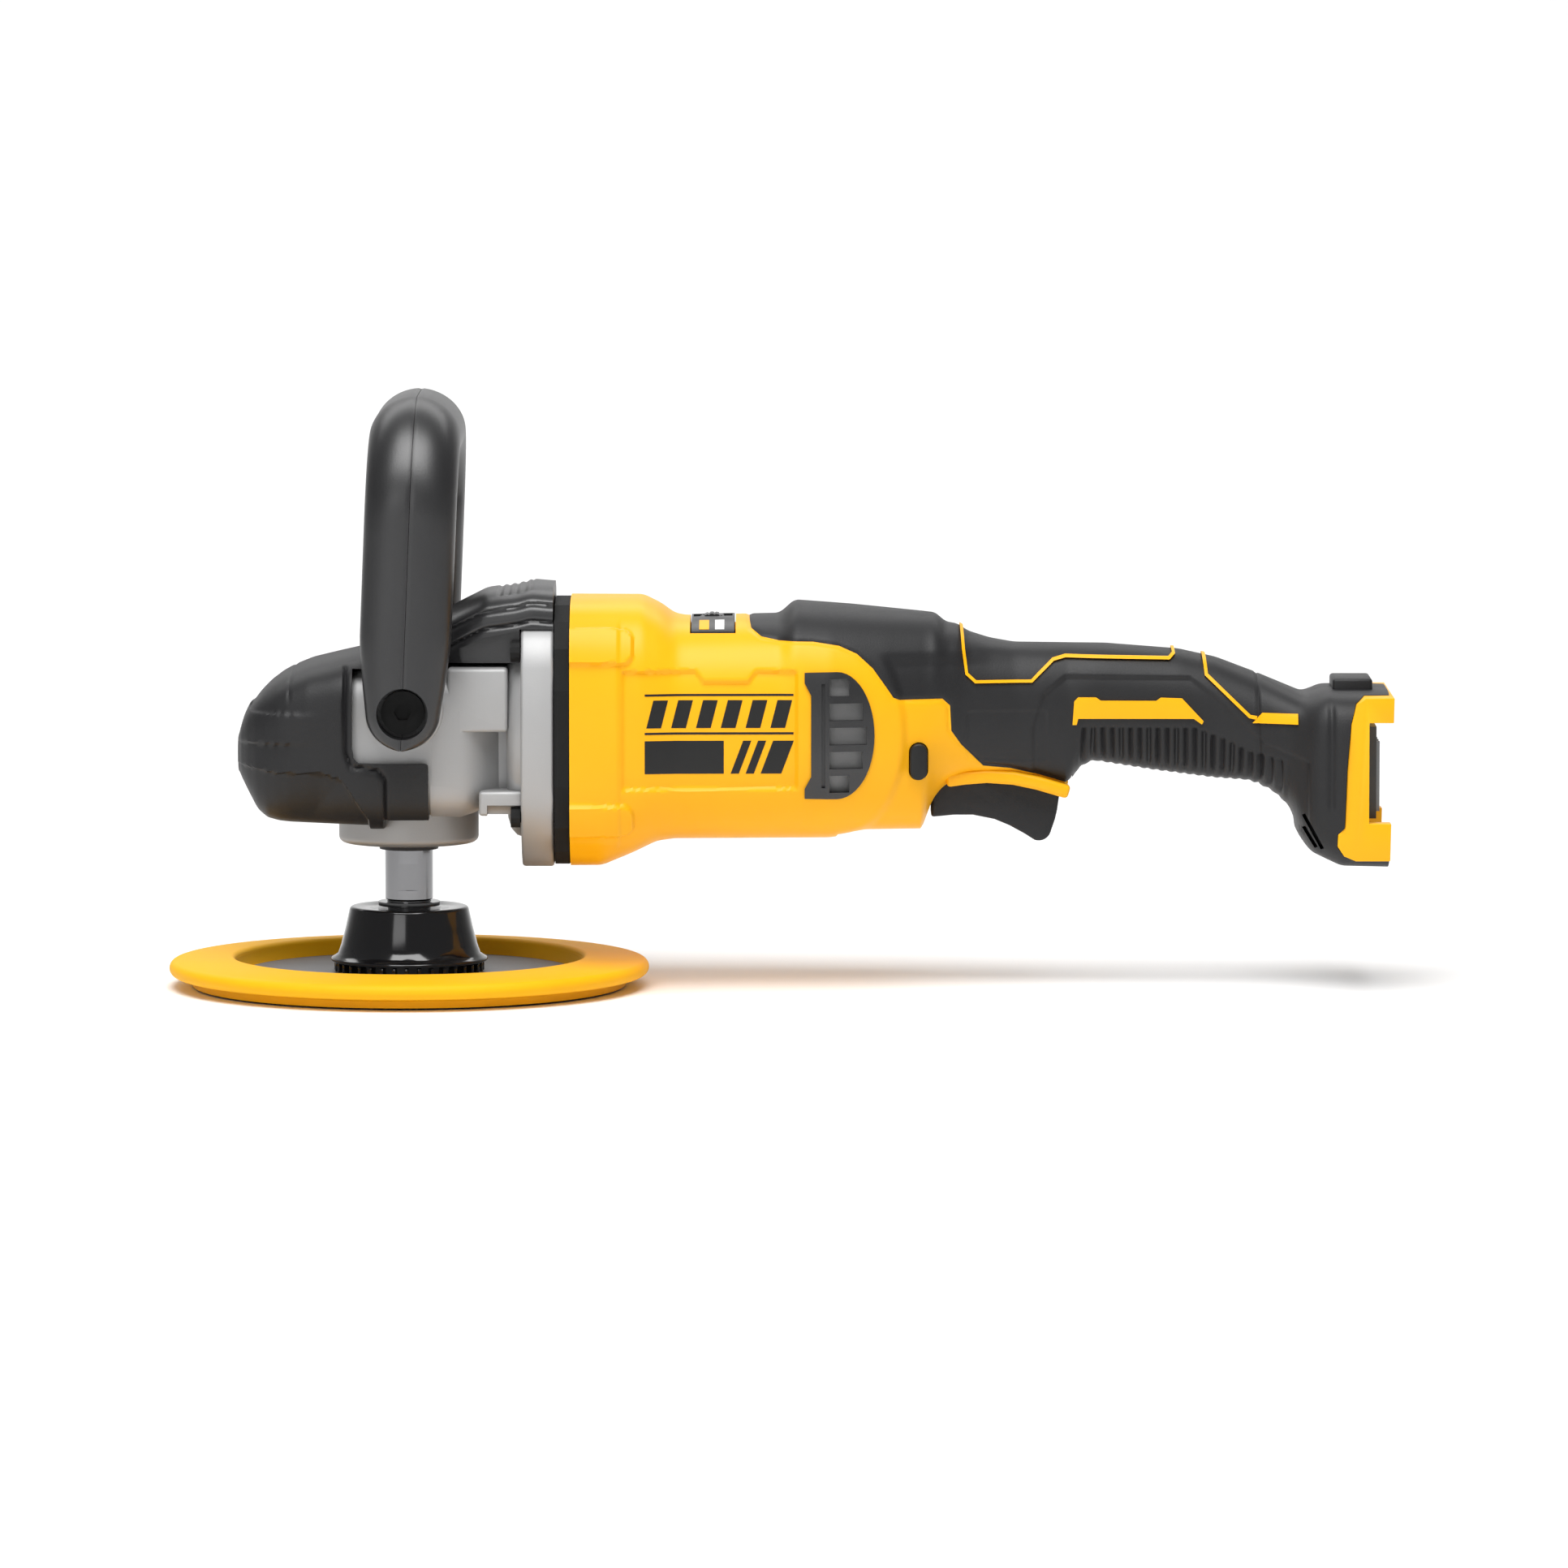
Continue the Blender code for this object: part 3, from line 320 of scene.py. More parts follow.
def eased(curve, x, reach=1.6):
    """A curve's value at x, with its corners eased over a short reach."""
    xs, values = np.array(curve, float).T
    spread = np.linspace(-reach, reach, 7)
    return np.mean([np.interp(np.asarray(x) + shift, xs, values) for shift in spread], axis=0)


def even(y, z, count):
    """Resamples an open line so that its points are evenly spaced."""
    run = np.concatenate([[0.0], np.cumsum(np.hypot(np.diff(y), np.diff(z)))])
    at = np.linspace(0.0, run[-1], count)
    return np.interp(at, run, y), np.interp(at, run, z)


def oval(width, low, high, power, count):
    """(y, z) points evenly round a superellipse."""
    turn = np.linspace(0.0, 2 * math.pi, 721)
    y = width * np.sign(np.cos(turn)) * np.abs(np.cos(turn)) ** (2.0 / power)
    z = (low + high) / 2 + (high - low) / 2 * np.sign(np.sin(turn)) * np.abs(np.sin(turn)) ** (2.0 / power)
    y, z = even(y, z, count + 1)
    return y[:-1], z[:-1]


def away(x, z, outline):
    """Signed distance from an outline in X and Z, negative inside it."""
    x, z = np.asarray(x, float), np.asarray(z, float)
    nearest = np.full(x.shape, 1e9)
    inside = np.zeros(x.shape, bool)
    for (ax, az), (bx, bz) in zip(outline, outline[1:] + outline[:1]):
        nearest = np.minimum(nearest, segment(x, z, ax, az, bx, bz))
        crosses = (az > z) != (bz > z)
        slope = (bx - ax) / (bz - az) if bz != az else 0.0
        inside ^= crosses & (x < slope * (z - az) + ax)
    return np.where(inside, -nearest, nearest)


def segment(x, z, ax, az, bx, bz):
    """Distance from a straight segment."""
    along = ((x - ax) * (bx - ax) + (z - az) * (bz - az)) / max((bx - ax) ** 2 + (bz - az) ** 2, 1e-9)
    along = np.clip(along, 0.0, 1.0)
    return np.hypot(x - ax - along * (bx - ax), z - az - along * (bz - az))


def from_line(x, z, line):
    """Distance from an open line."""
    parts = [segment(x, z, *a, *b) for a, b in zip(line, line[1:])]
    return np.min(parts, axis=0)


def within(distance, soft=0.6):
    """1 inside an outline and 0 outside, with a soft edge."""
    t = np.clip(0.5 - np.asarray(distance) / (2 * soft), 0.0, 1.0)
    return t * t * (3 - 2 * t)


def round_box(x, z, centre, half, radius):
    dx = np.abs(x - centre[0]) - half[0] + radius
    dz = np.abs(z - centre[1]) - half[1] + radius
    outside = np.hypot(np.maximum(dx, 0.0), np.maximum(dz, 0.0))
    return outside + np.minimum(np.maximum(dx, dz), 0.0) - radius


def stroke(line, width):
    """The outline of a line of the given width."""
    points = np.array(line, float)
    ahead = np.diff(points, axis=0)
    ahead /= np.linalg.norm(ahead, axis=1)[:, None]
    ahead = np.vstack([ahead[:1], ahead[:-1] + ahead[1:], ahead[-1:]])
    ahead /= np.linalg.norm(ahead, axis=1)[:, None]
    off = np.stack([-ahead[:, 1], ahead[:, 0]], 1) * width / 2
    return [tuple(p) for p in points + off] + [tuple(p) for p in (points - off)[::-1]]


# ---------------------------------------------------------------- the body


def body_relief(x, z):
    """How far the moulding stands proud of the body's plain surface, in millimetres."""
    flank = within(np.abs(z - MOTOR_Z) - 41.0, 2.5)
    proud = 0.8 * within(x - 78.4, 0.6) * flank
    for middle, half in ((128.7, 6.1), (65.4, 5.6)):
        proud = proud + 1.8 * within(round_box(x, z, (66.0, middle), (17.6, half), 4.0), 0.6)
    proud = proud - 1.5 * within(away(x, z, PANEL), 0.55)
    bulge = (np.hypot((x - 158.5) / 25.0, (z - MOTOR_Z) / 40.0) - 1.0) * 25.0
    fade = np.clip((235.0 - x) / 30.0, 0.0, 1.0) * within(z - 124.0, 3.0)
    proud = proud - np.where(x > 158.5, 1.5 * (1.0 - within(bulge, 2.0)) * fade, 0.0)
    proud = proud - 0.6 * np.exp(-(from_line(x, z, COLOUR_SPLIT) / 0.8) ** 2)
    proud = proud - 0.9 * within(away(x, z, PALM), 0.8)
    patch = round_box(x, z, (221.5, 94.5), (14.5, 9.5), 1.0)
    proud = proud - 0.35 * within(patch, 0.5)
    ribs = 0.5 - 0.5 * np.cos(2 * math.pi * x / RIB_PITCH)
    low = np.interp(x, *np.array(BODY_BOTTOM).T)
    depth = 0.3 + 0.7 * within(low + 3.0 - z, 1.5)
    proud = proud - 1.3 * within(away(x, z, RIB_FIELD), 0.8) * ribs ** 1.5 * depth
    proud = proud - 0.5 * np.exp(-((x - SEAM_X) / 0.5) ** 2)
    proud = proud - 0.9 * np.exp(-((x - FOOT_FOLD) / 1.1) ** 2) * within(np.abs(z - 88.0) - 19.0, 3.0)
    return proud


def body_grid(side, xs, count, outset):
    """Rows of points over one half of the body, from the bottom seam to the top one."""
    turn = np.linspace(-math.pi / 2, math.pi / 2, 361)
    grid = []
    for x in xs:
        low, high = eased(BODY_BOTTOM, x), eased(BODY_TOP, x)
        power = 2.0 / float(eased(BODY_POWER, x))
        y = eased(BODY_WIDTH, x) * np.abs(np.cos(turn)) ** power
        rise = np.sign(np.sin(turn)) * np.abs(np.sin(turn)) ** power
        z = (low + high) / 2 + (high - low) / 2 * rise
        y, z = even(y, z, count)
        grid.append(np.stack([np.full(count, x), y, z], 1))
    grid = np.array(grid)
    normal = np.cross(np.gradient(grid, axis=0), np.gradient(grid, axis=1))
    normal /= np.linalg.norm(normal, axis=2, keepdims=True)
    middle = grid.mean(axis=1, keepdims=True) * (1.0, 0.0, 1.0)
    normal *= np.sign(((grid - middle) * normal).sum(axis=2, keepdims=True))
    outer = grid + normal * (body_relief(grid[..., 0], grid[..., 2]) + outset)[..., None]
    outer[..., 1] = np.maximum(outer[..., 1], GAP / 2)
    outer[0, :, 0], outer[-1, :, 0] = xs[0], xs[-1]
    outer[:, 0, 1] = outer[:, -1, 1] = GAP / 2
    return outer * (1.0, side, 1.0), normal * (1.0, side, 1.0)


def body_shell(name, side, xs, count=120, outset=0.0, wall=SHELL_WALL):
    """One half of the body as a closed shell."""
    outer, normal = body_grid(side, xs, count, outset)
    inner = outer - normal * wall
    inner[0, :, 0], inner[-1, :, 0] = xs[0], xs[-1]
    inner[..., 1] = side * np.maximum(side * inner[..., 1], GAP / 2)
    rings = np.concatenate([outer, inner[:, ::-1]], axis=1)
    rows, columns = rings.shape[:2]
    faces = quads(rows, columns)
    for start in (0, (rows - 1) * columns):
        for j in range(count - 1):
            far = columns - 1 - j
            faces.append([start + j, start + j + 1, start + far - 1, start + far])
    return add_mesh(name, rings.reshape(-1, 3), faces, None)


def yellow_region(shift):
    edge = [(x + shift, z + shift) for x, z in COLOUR_SPLIT]
    outline = [(40.0, 155.0 + shift), *edge, (244.6 + shift, 60.0), (230.0, 30.0), (40.0, 30.0)]
    return prism("region", outline, "Y", -60.0, 60.0)


def side_prism(name, outline, side):
    return prism(name, outline, "Y", side * 0.2, side * 60.0)


def vent_outline(grow):
    x, z = VENT_CENTRE
    bow = arc((x, z), (13.8 + grow, 23.5 + grow), 90.0, -90.0, 24)
    front = [(-11.8, -23.3), (-11.8, -19.5), (-9.4, -15.0), (-9.4, 15.0), (-11.8, 19.5), (-11.8, 23.3)]
    return bow + [(x + dx - grow, z + dz * (1.0 + grow / 23.5)) for dx, dz in front]


def pill_outline(grow):
    radius = 3.3 + grow
    return arc((188.6, 89.6), radius, 0.0, 180.0, 14) + arc((188.6, 82.6), radius, 180.0, 360.0, 14)


def rail_outline(grow, back):
    points = [(352.8, RAIL_TOP), (349.6, RAIL_TOP - 2.6), (347.6, 100.0), (346.2, 84.0), (345.4, 62.0),
              (342.9, 59.5), (342.7, 55.0), (345.1, 51.4), (349.4, 49.6)]
    front = [(x - grow, z + math.copysign(grow, z - 80.0)) for x, z in points]
    return front + [(362.1 + back, 49.6 - grow), (363.4 + back, RAIL_TOP + grow)]


def make_body(name, side):
    """The yellow shell and the black overmoulded grip of one half of the body."""
    xs = np.concatenate([np.arange(HOUSING_FRONT, 205.0, 0.7), np.arange(205.0, 326.0, 0.6),
                         np.linspace(326.0, BODY_BACK, 50)])
    whole = body_shell("whole", side, xs, 170)
    grip = copy_of(whole, f"grip_{name}_overmould")
    housing = keep(whole, yellow_region(0.0))
    housing.name = f"housing_{name}_shell"
    cut(grip, yellow_region(HAIRLINE))
    cut(grip, prism("seat", rail_outline(0.2, 8.0), "Y", -60.0, 60.0))
    cut(housing, side_prism("vent", vent_outline(HAIRLINE), side))
    cut(housing, box("bezel", (DIAL_X - 8.4, -26.4, 127.0), (DIAL_X + 8.4, 26.4, 160.0)))
    for shell in (housing, grip):
        cut(shell, box("slot", (193.0, -9.6, 50.0), (246.0, 9.6, 87.0)))
    if side < 0:
        cut(housing, side_prism("button", pill_outline(GAP), side))
    else:
        for x, z in SHELL_SCREWS:
            target = housing if x < 150.0 else grip
            cut(target, rod("seat", "Y", (x, z), 3.5, 5.0, 60.0))
    for slot in FOOT_SLOTS:
        groove = body_shell("groove", side, np.arange(327.0, 341.0, 0.7), outset=2.0, wall=4.0)
        cut(grip, keep(groove, side_prism("slot", stroke(slot, 1.3), side)))
    place(housing, "tool", f"housing_{name}", finish="yellow_plastic", slot="yellow_plastic")
    place(grip, "tool", f"grip_{name}", finish="black_rubber", slot="black_rubber")


def make_lip(name, side):
    """The yellow lip that guards the trigger on one side."""
    ends = sorted((side * 9.9, side * 16.5))
    lip = soften(prism(f"housing_{name}_lip", stroke(TRIGGER_LIP, 5.0), "Y", *ends), 1.4)
    place(lip, "tool", finish="yellow_plastic", slot="yellow_plastic")


def make_rail():
    """The yellow frame that a battery slides onto, with a hook at each corner."""
    rail = prism("rail_frame", rail_outline(0.0, 0.0), "Y", -35.0, 35.0)
    cut(rail, box("pocket", (354.2, -40.0, 63.4), (370.0, 40.0, 100.6)))
    cut(rail, box("mouth", (353.0, -27.0, 40.0), (370.0, 27.0, 64.0)))
    place(soften(rail, 0.7), "tool", "battery_rail", finish="yellow_plastic", slot="yellow_plastic")


def make_foot_bump():
    """The raised block on top of the foot."""
    bump = soften(box("foot_bump", (341.7, -13.0, 104.0), (356.4, 13.0, 115.2)), 1.2)
    place(bump, "tool", finish="black_rubber", slot="black_rubber")


def inlay(name, side, outlines, finish, proud, xs, wall=1.2):
    """Thin shapes let into the side of the body."""
    pieces = []
    for outline in outlines:
        skin = body_shell(name, side, xs, outset=proud, wall=wall)
        pieces.append(keep(skin, side_prism("outline", outline, side)))
    return merge(name, pieces, finish)


def merge(name, pieces, finish):
    """Puts several meshes in one object."""
    bm = bmesh.new()
    for piece in pieces:
        bm.from_mesh(piece.data)
        bpy.data.objects.remove(piece, do_unlink=True)
    mesh = bpy.data.meshes.new(name)
    bm.to_mesh(mesh)
    bm.free()
    obj = bpy.data.objects.new(name, mesh)
    bpy.context.scene.collection.objects.link(obj)
    mesh.materials.append(material(finish))
    shade(obj)
    return obj


def slanted_bar(x, z, wide, high, lean=2.6):
    return [(x, z), (x + wide, z), (x + wide + lean, z + high), (x + lean, z + high)]


def make_inlays(name, side):
    stripes = [stroke(STRIPE_TOP, 1.15), stroke(STRIPE_BACK, 1.3), BAR_BACK, STRIP]
    grip_xs = np.arange(203.0, 331.0, 0.8)
    place(inlay(f"grip_{name}_stripes", side, stripes, "yellow_plastic", 0.9, grip_xs, 2.4), "tool",
          slot="yellow_plastic")
    label = [slanted_bar(88.0, 82.4, 29.0, 12.2, 0.0), slanted_bar(119.5, 82.4, 3.0, 12.2, 4.6),
             slanted_bar(125.0, 82.4, 3.0, 12.2, 4.6), slanted_bar(130.5, 82.4, 7.6, 12.2, 4.6)]
    label += [slanted_bar(88.0, z, 54.6, 0.8, 0.0) for z in (96.9, 111.0)]
    label += [slanted_bar(88.6 + 9.1 * i, 99.3, 5.4, 10.2) for i in range(6)]
    panel_xs = np.arange(84.0, 145.0, 1.0)
    place(inlay(f"housing_{name}_label", side, label, "label_black", 0.12, panel_xs, 0.6), "tool")


def make_vent(name, side):
    xs = np.arange(142.0, 176.0, 0.8)
    shield = body_shell(f"vent_{name}_shield", side, xs, outset=0.9, wall=3.4)
    keep(shield, side_prism("outline", vent_outline(0.0), side))
    for row in range(-2, 3):
        z = VENT_CENTRE[1] + 8.9 * row
        reach = 11.0 * math.sqrt(1.0 - ((abs(8.9 * row) + 2.2) / 22.0) ** 2)
        window = [(155.8, z - 3.2), (VENT_CENTRE[0] + reach, z - 3.2), (VENT_CENTRE[0] + reach, z + 3.2),
                  (155.8, z + 3.2)]
        cut(shield, side_prism("window", window, side))
    groove = body_shell("groove", side, xs, outset=2.0, wall=2.2)
    keep(groove, side_prism("strip", [(152.9, 77.0), (154.2, 77.0), (154.2, 115.5), (152.9, 115.5)], side))
    cut(shield, groove)
    place(shield, "tool", f"vent_shield_{name}", finish="black_plastic", slot="black_plastic")
    mesh = body_shell(f"vent_{name}_mesh", side, xs, outset=-2.6, wall=0.9)
    keep(mesh, side_prism("outline", vent_outline(-0.6), side))
    place(mesh, "tool", f"vent_mesh_{name}", finish="grey_mesh", slot="grey_mesh")


# ---------------------------------------------------------------- the head


def cover_relief(x, z):
    """How far the nose's moulded detail stands proud, in millimetres."""
    front = np.clip((-28.0 - x) / 18.0, 0.0, 1.0)
    band = within(np.abs(z - 99.0) - 5.5, 0.5)
    ridge = within(np.abs(x + 42.5) - 0.5, 0.5) * within(110.0 - z, 3.0)
    lip = np.exp(-(from_line(x, z, NOSE_LIP) / 0.7) ** 2)
    return 1.5 * front * band - 1.8 * within(away(x, z, NOSE_LOWER), 0.45) - 0.5 * ridge - 1.4 * lip


def cover_solid(name, inset, detail):
    """The nose of the gear case, with its moulded detail when that is asked for."""
    stations = np.array(COVER_STATIONS)
    start = -62.2 + inset
    xs = np.concatenate([start + 8.0 * (1 - np.cos(np.linspace(0.0, math.pi / 2, 24))),
                         np.arange(start + 8.8, 10.0, 0.6), [10.0]])
    rings = []
    for x in xs:
        at = x - inset * float(np.clip((-17.0 - x) / 20.0, 0.0, 1.0))
        width, low, high = (float(eased(stations[:, (0, k)], at, 0.9)) for k in (1, 2, 3))
        y, z = oval(width - inset, low + inset, high - inset, COVER_POWER, 220)
        below = np.clip(-away(np.full(220, x), z, NOSE_LOWER), 0.0, 22.0)
        y = y * (1.0 - 0.0085 * below)
        rings.append(np.stack([np.full(220, x), y, z], 1))
    rings = np.array(rings)
    if detail:
        relief = cover_relief(rings[..., 0], rings[..., 2])
        out = rings - (rings[..., 0:1] * (1, 0, 0) + np.array([0.0, 0.0, 92.0]))
        out /= np.maximum(np.linalg.norm(out, axis=2, keepdims=True), 1.0)
        rings = rings + out * relief[..., None]
    return loft(name, rings)


def make_nose():
    cover = cover_solid("nose_cover", 0.0, True)
    cut(cover, cover_solid("inside", 3.7, False))
    cut(cover, rod("button", "Z", (0.0, 14.5), 6.9, 110.0, 150.0))
    edge = [(-80.0, 40.0), (-8.0, 40.0), (-8.0, 65.2), (8.6, 65.2), (8.6, 85.0),
            *arc((7.4, 85.0), 1.2, 0.0, 90.0, 4), (-8.0, 86.2), (-17.0, 86.6), (-18.6, 88.0), (-19.3, 92.0),
            (-19.3, 121.0), (8.6, 121.0), (8.6, 140.0),
            (-80.0, 140.0)]
    keep(cover, prism("edge", edge, "Y", -60.0, 60.0))
    cut(cover, rod("neck", "Z", (0.0, 0.0), RETAINER_RADIUS + 0.5, 50.0, 70.0))
    place(cover, "tool", "gear_case_cover", finish="black_rubber", slot="black_rubber")


def flange_outline(grow):
    right = [(18.0, 46.2), (28.0, 50.8), (38.0, 61.0), (43.0, 73.0), (43.0, 121.0), (38.5, 131.0),
             (31.0, 137.0)]
    right = [(y + grow, z + math.copysign(grow, z - MOTOR_Z)) for y, z in right]
    return right + [(-y, z) for y, z in reversed(right)]


def oval_loft(name, stations, power, count=120):
    rings = []
    for x, width, low, high in stations:
        y, z = oval(width, low, high, power, count)
        rings.append(np.stack([np.full(count, x), y, z], 1))
    return loft(name, rings)


def make_gear_case():
    case = cover_solid("gear_case_casting", 4.0, False)
    neck = [(9.2, 41.0, 64.2, 121.4), (20.0, 39.0, 64.4, 121.2), (25.0, 36.0, 66.0, 121.2),
            (29.5, 30.0, 68.0, 121.2), (34.0, 25.0, 69.0, 121.2), (44.0, 24.0, 69.0, 121.2)]
    join(case, oval_loft("neck", neck, 5.0))
    for side in SIDES.values():
        ends = sorted((side * 20.0, side * 38.8))
        join(case, soften(box("block", (15.5, ends[0], 97.6), (37.6, ends[1], 121.0)), 1.4))
        ends = sorted((side * 20.0, side * 38.0))
        join(case, soften(box("lug", (27.0, ends[0], 66.6), (43.0, ends[1], 75.6)), 1.2))
        ends = sorted((side * 28.0, side * 47.5))
        join(case, soften(rod("boss", "Y", PIVOT, 14.5, *ends), 0.9))
    join(case, soften(prism("flange", flange_outline(0.0), "X", 42.5, 54.5), 1.2))
    dome = [(0.0, 50.0), (40.8, 50.0), (40.8, 42.6), (40.0, 40.3), (37.8, 38.3), (34.0, 37.1), (0.0, 37.0)]
    join(case, lathe("dome", dome, axis="X", height=MOTOR_Z))
    hollows = [("Z", (0.0, 0.0), 33.0, 50.0, 70.0), ("Z", (0.0, 0.0), 28.0, 69.0, 108.0),
               ("Z", (0.0, 0.0), 11.15, 100.0, 115.2), ("Z", (0.0, 14.5), 2.2, 105.0, 125.0),
               ("Z", (0.0, 14.5), 6.9, 119.4, 130.0), ("X", (0.0, MOTOR_Z), 11.4, 20.0, 60.0),
               ("X", (0.0, MOTOR_Z), 13.15, 38.0, 60.0), ("X", (0.0, MOTOR_Z), 31.0, 49.5, 60.0),
               ("Y", PIVOT, 4.2, -60.0, -33.0), ("Y", PIVOT, 4.2, 33.0, 60.0)]
    for axis, centre, radius, low, high in hollows:
        cut(case, rod("hollow", axis, centre, radius, low, high))
    for y in (-35.5, 35.5):
        for z in (66.0, 127.0):
            cut(case, rod("screw", "X", (y, z), 5.2, 30.0, 42.6))
    place(case, "tool", "gear_case", finish="cast_aluminium", slot="cast_aluminium")


def make_shroud():
    stations = [(9.0, 27.0, 134.5), (14.0, 30.0, 139.4), (19.0, 32.0, 142.2), (23.0, 33.0, 144.2),
                (29.0, 34.0, 147.2), (41.0, 34.5, 148.9), (46.0, 34.5, 150.3), (54.2, 34.5, 149.6)]
    columns = np.array(stations)
    rings = []
    for x in np.concatenate([np.arange(9.0, 54.0, 0.5), [54.2]]):
        width, top = (float(eased(columns[:, (0, k)], x, 1.4)) for k in (1, 2))
        y, z = oval(width, 115.0, top, 4.0, 320)
        ribbed = 0.5 * math.cos(2 * math.pi * x / 3.0) - 0.5
        layer = 1.3 * np.exp(-((z - top + 6.0) / 0.8) ** 2) + 1.3 * np.exp(-((z - top + 12.0) / 0.8) ** 2)
        y = y - np.sign(y) * layer
        z = z + 0.6 * ribbed * within(abs(x - 40.0) - 6.4, 0.6) * within(top - 1.2 - z, 0.3)
        rings.append(np.stack([np.full(320, x), y, z], 1))
    shroud = loft("top_hood", rings)
    cut(shroud, box("floor", (0.0, -60.0, 100.0), (60.0, 60.0, 122.6)))
    cut(shroud, prism("flange", flange_outline(GAP + 0.2), "X", 42.0, 70.0))
    cut(shroud, rod("dome", "X", (0.0, MOTOR_Z), 41.2, 36.7, 70.0))
    for side in SIDES.values():
        under = [(0.0, 110.0), (60.0, 110.0), (60.0, 135.0), (41.0, 134.4), (29.0, 132.0), (21.0, 128.4),
                 (0.0, 124.0)]
        cut(shroud, prism("arch", under, "Y", side * 32.2, side * 60.0))
    place(shroud, "tool", "top_shroud", finish="black_plastic", slot="black_plastic")


def make_spindle_group():
    flange, barrel = 32.4, RETAINER_RADIUS
    outline = [(flange, 69.7), (flange, 66.7), (barrel, 66.7), (barrel, 56.6),
               *arc((barrel - 2.4, 56.0), 2.4, 0.0, -80.0, 5), (9.4, 53.3), (9.4, 56.7), (20.1, 56.7),
               (20.1, 69.7)]
    place(lathe("retainer_casting", outline), "tool", "bearing_retainer", finish="dull_aluminium",
          slot="cast_aluminium")
    collar = [(10.9, 53.0), (10.9, 51.0), (9.0, 51.0), (9.0, 53.0)]
    place(lathe("dust_lip", collar), "tool", "dust_collar", finish="black_rubber", slot="black_rubber")
    shaft = [(0.0, 114.5), (3.95, 114.5), (3.95, 104.0), (6.0, 103.0), (6.0, 89.5), (7.9, 89.0), (7.9, 76.5),
             (8.4, 76.0), (8.4, 54.5), (8.9, 54.0), (8.9, 32.6), (8.5, 32.2), (7.9, 31.8), (7.9, 14.5),
             (6.9, 13.5), (0.0, 13.5)]
    spindle = lathe("spindle_shaft", shaft)
    for side in SIDES.values():
        ends = sorted((side * 8.0, side * 20.0))
        cut(spindle, box("flat", (-20.0, ends[0], 36.0), (20.0, ends[1], 46.0)))
    place(spindle, "spindle", "spindle", finish="chrome", slot="chrome")
    washer = [(11.4, 31.4), (11.4, 29.9), (8.2, 29.9), (8.2, 31.4)]
    place(lathe("hub_ring", washer), "spindle", "hub_washer", finish="gloss_black", slot="black_plastic")


def make_pad_group():
    hub = [(0.0, 12.5), (8.1, 12.5), (8.1, 29.2), (8.6, 29.6), (20.6, 29.6),
           *arc((20.8, 28.2), 1.4, 80.0, 10.0, 5),
           (23.6, 22.0), (25.2, 15.6), (26.4, 12.2), (28.2, 10.9), *arc((28.3, 10.0), 0.8, 60.0, -60.0, 5),
           (26.0, 9.0), (25.6, 5.6), (0.0, 5.6)]
    place(lathe("hub_cone", hub), "spindle", "pad_hub", finish="gloss_black", slot="gloss_black")
    ribs = []
    for i in range(36):
        turn = 2 * math.pi * i / 36
        rib = soften(box("rib", (25.2, -0.7, 5.6), (27.8, 0.7, 9.0)), 0.3, 2)
        rib.data.transform(Matrix.Rotation(turn, 4, "Z"))
        ribs.append(rib)
    place(merge("hub_ribs", ribs, "gloss_black"), "spindle", slot="gloss_black")
    plate = [(0.0, 5.3), (61.6, 5.3), (62.1, 5.1), (62.3, 4.5), (0.0, 4.5)]
    place(lathe("printed_disc", plate), "spindle", "pad_plate", finish="grey_plate", slot="grey_plate")
    lip = arc((PAD_RADIUS - 2.7, 6.9), (2.7, 2.8), 78.0, -80.0, 12)
    pad = [(0.0, 4.2), (62.8, 4.2), (63.6, 5.0), (64.4, 9.4), *arc((66.4, 9.4), 1.9, 180.0, 86.0, 6),
           (76.0, 10.4), *lip, (81.4, 3.6), (80.6, 2.9), (80.4, 0.4),
           (79.9, 0.4), (79.9, 1.5), (0.0, 1.5)]
    foam = lathe("foam_pad", pad, steps=180)
    place(foam, "spindle", "backing_pad", finish="pad_foam", slot="pad_foam")
    hooks = [(0.0, 1.2), (79.2, 1.2), (79.7, 0.9), (79.7, 0.3), (79.2, 0.0), (0.0, 0.0)]
    disc = lathe("hook_disc", hooks, steps=160)
    place(disc, "spindle", "hook_face", finish="hook_black", slot="hook_black")


# ---------------------------------------------------------------- handle, trigger and small parts


def handle_path():
    """(y, z, direction, width, thickness, squareness) from the left leg's end to the right one's."""
    leg = [(-HANDLE_END * math.cos(turn), 17.0, 2 * HANDLE_END * math.sin(turn))
           for turn in np.linspace(0.12, 1.45, 14)]
    widths = [(0.0, 2 * HANDLE_END), (6.0, 29.2), (25.0, 33.4), (64.0, HANDLE_WIDTH)]
    thicks = [(0.0, 17.0), (6.0, 17.0), (25.0, 18.0), (64.0, 24.0)]
    leg += [(z, eased(thicks, z, 5.0), eased(widths, z, 3.0)) for z in np.arange(3.0, 64.1, 3.05)]
    rise = HANDLE_TOP - PIVOT[1]
    up = [(thick / 2 - HANDLE_HALF_WIDTH, level, math.pi / 2, wide, thick, 2.9) for level, thick, wide in leg]
    corner, bar, steps = 28.0, 30.0, 20
    turn_y, turn_z = 12.0 + corner - HANDLE_HALF_WIDTH, rise - bar / 2 - corner
    bend = []
    for i in range(steps + 1):
        angle = math.pi - math.pi / 2 * i / steps
        bend.append((turn_y + corner * math.cos(angle), turn_z + corner * math.sin(angle),
                     angle - math.pi / 2, HANDLE_WIDTH, 24.0 + (bar - 24.0) * i / steps,
                     2.9 - (i / steps) ** 0.5))
    left = up + bend
    right = [(-y, z, -direction, *rest) for y, z, direction, *rest in reversed(left)]
    return left + right


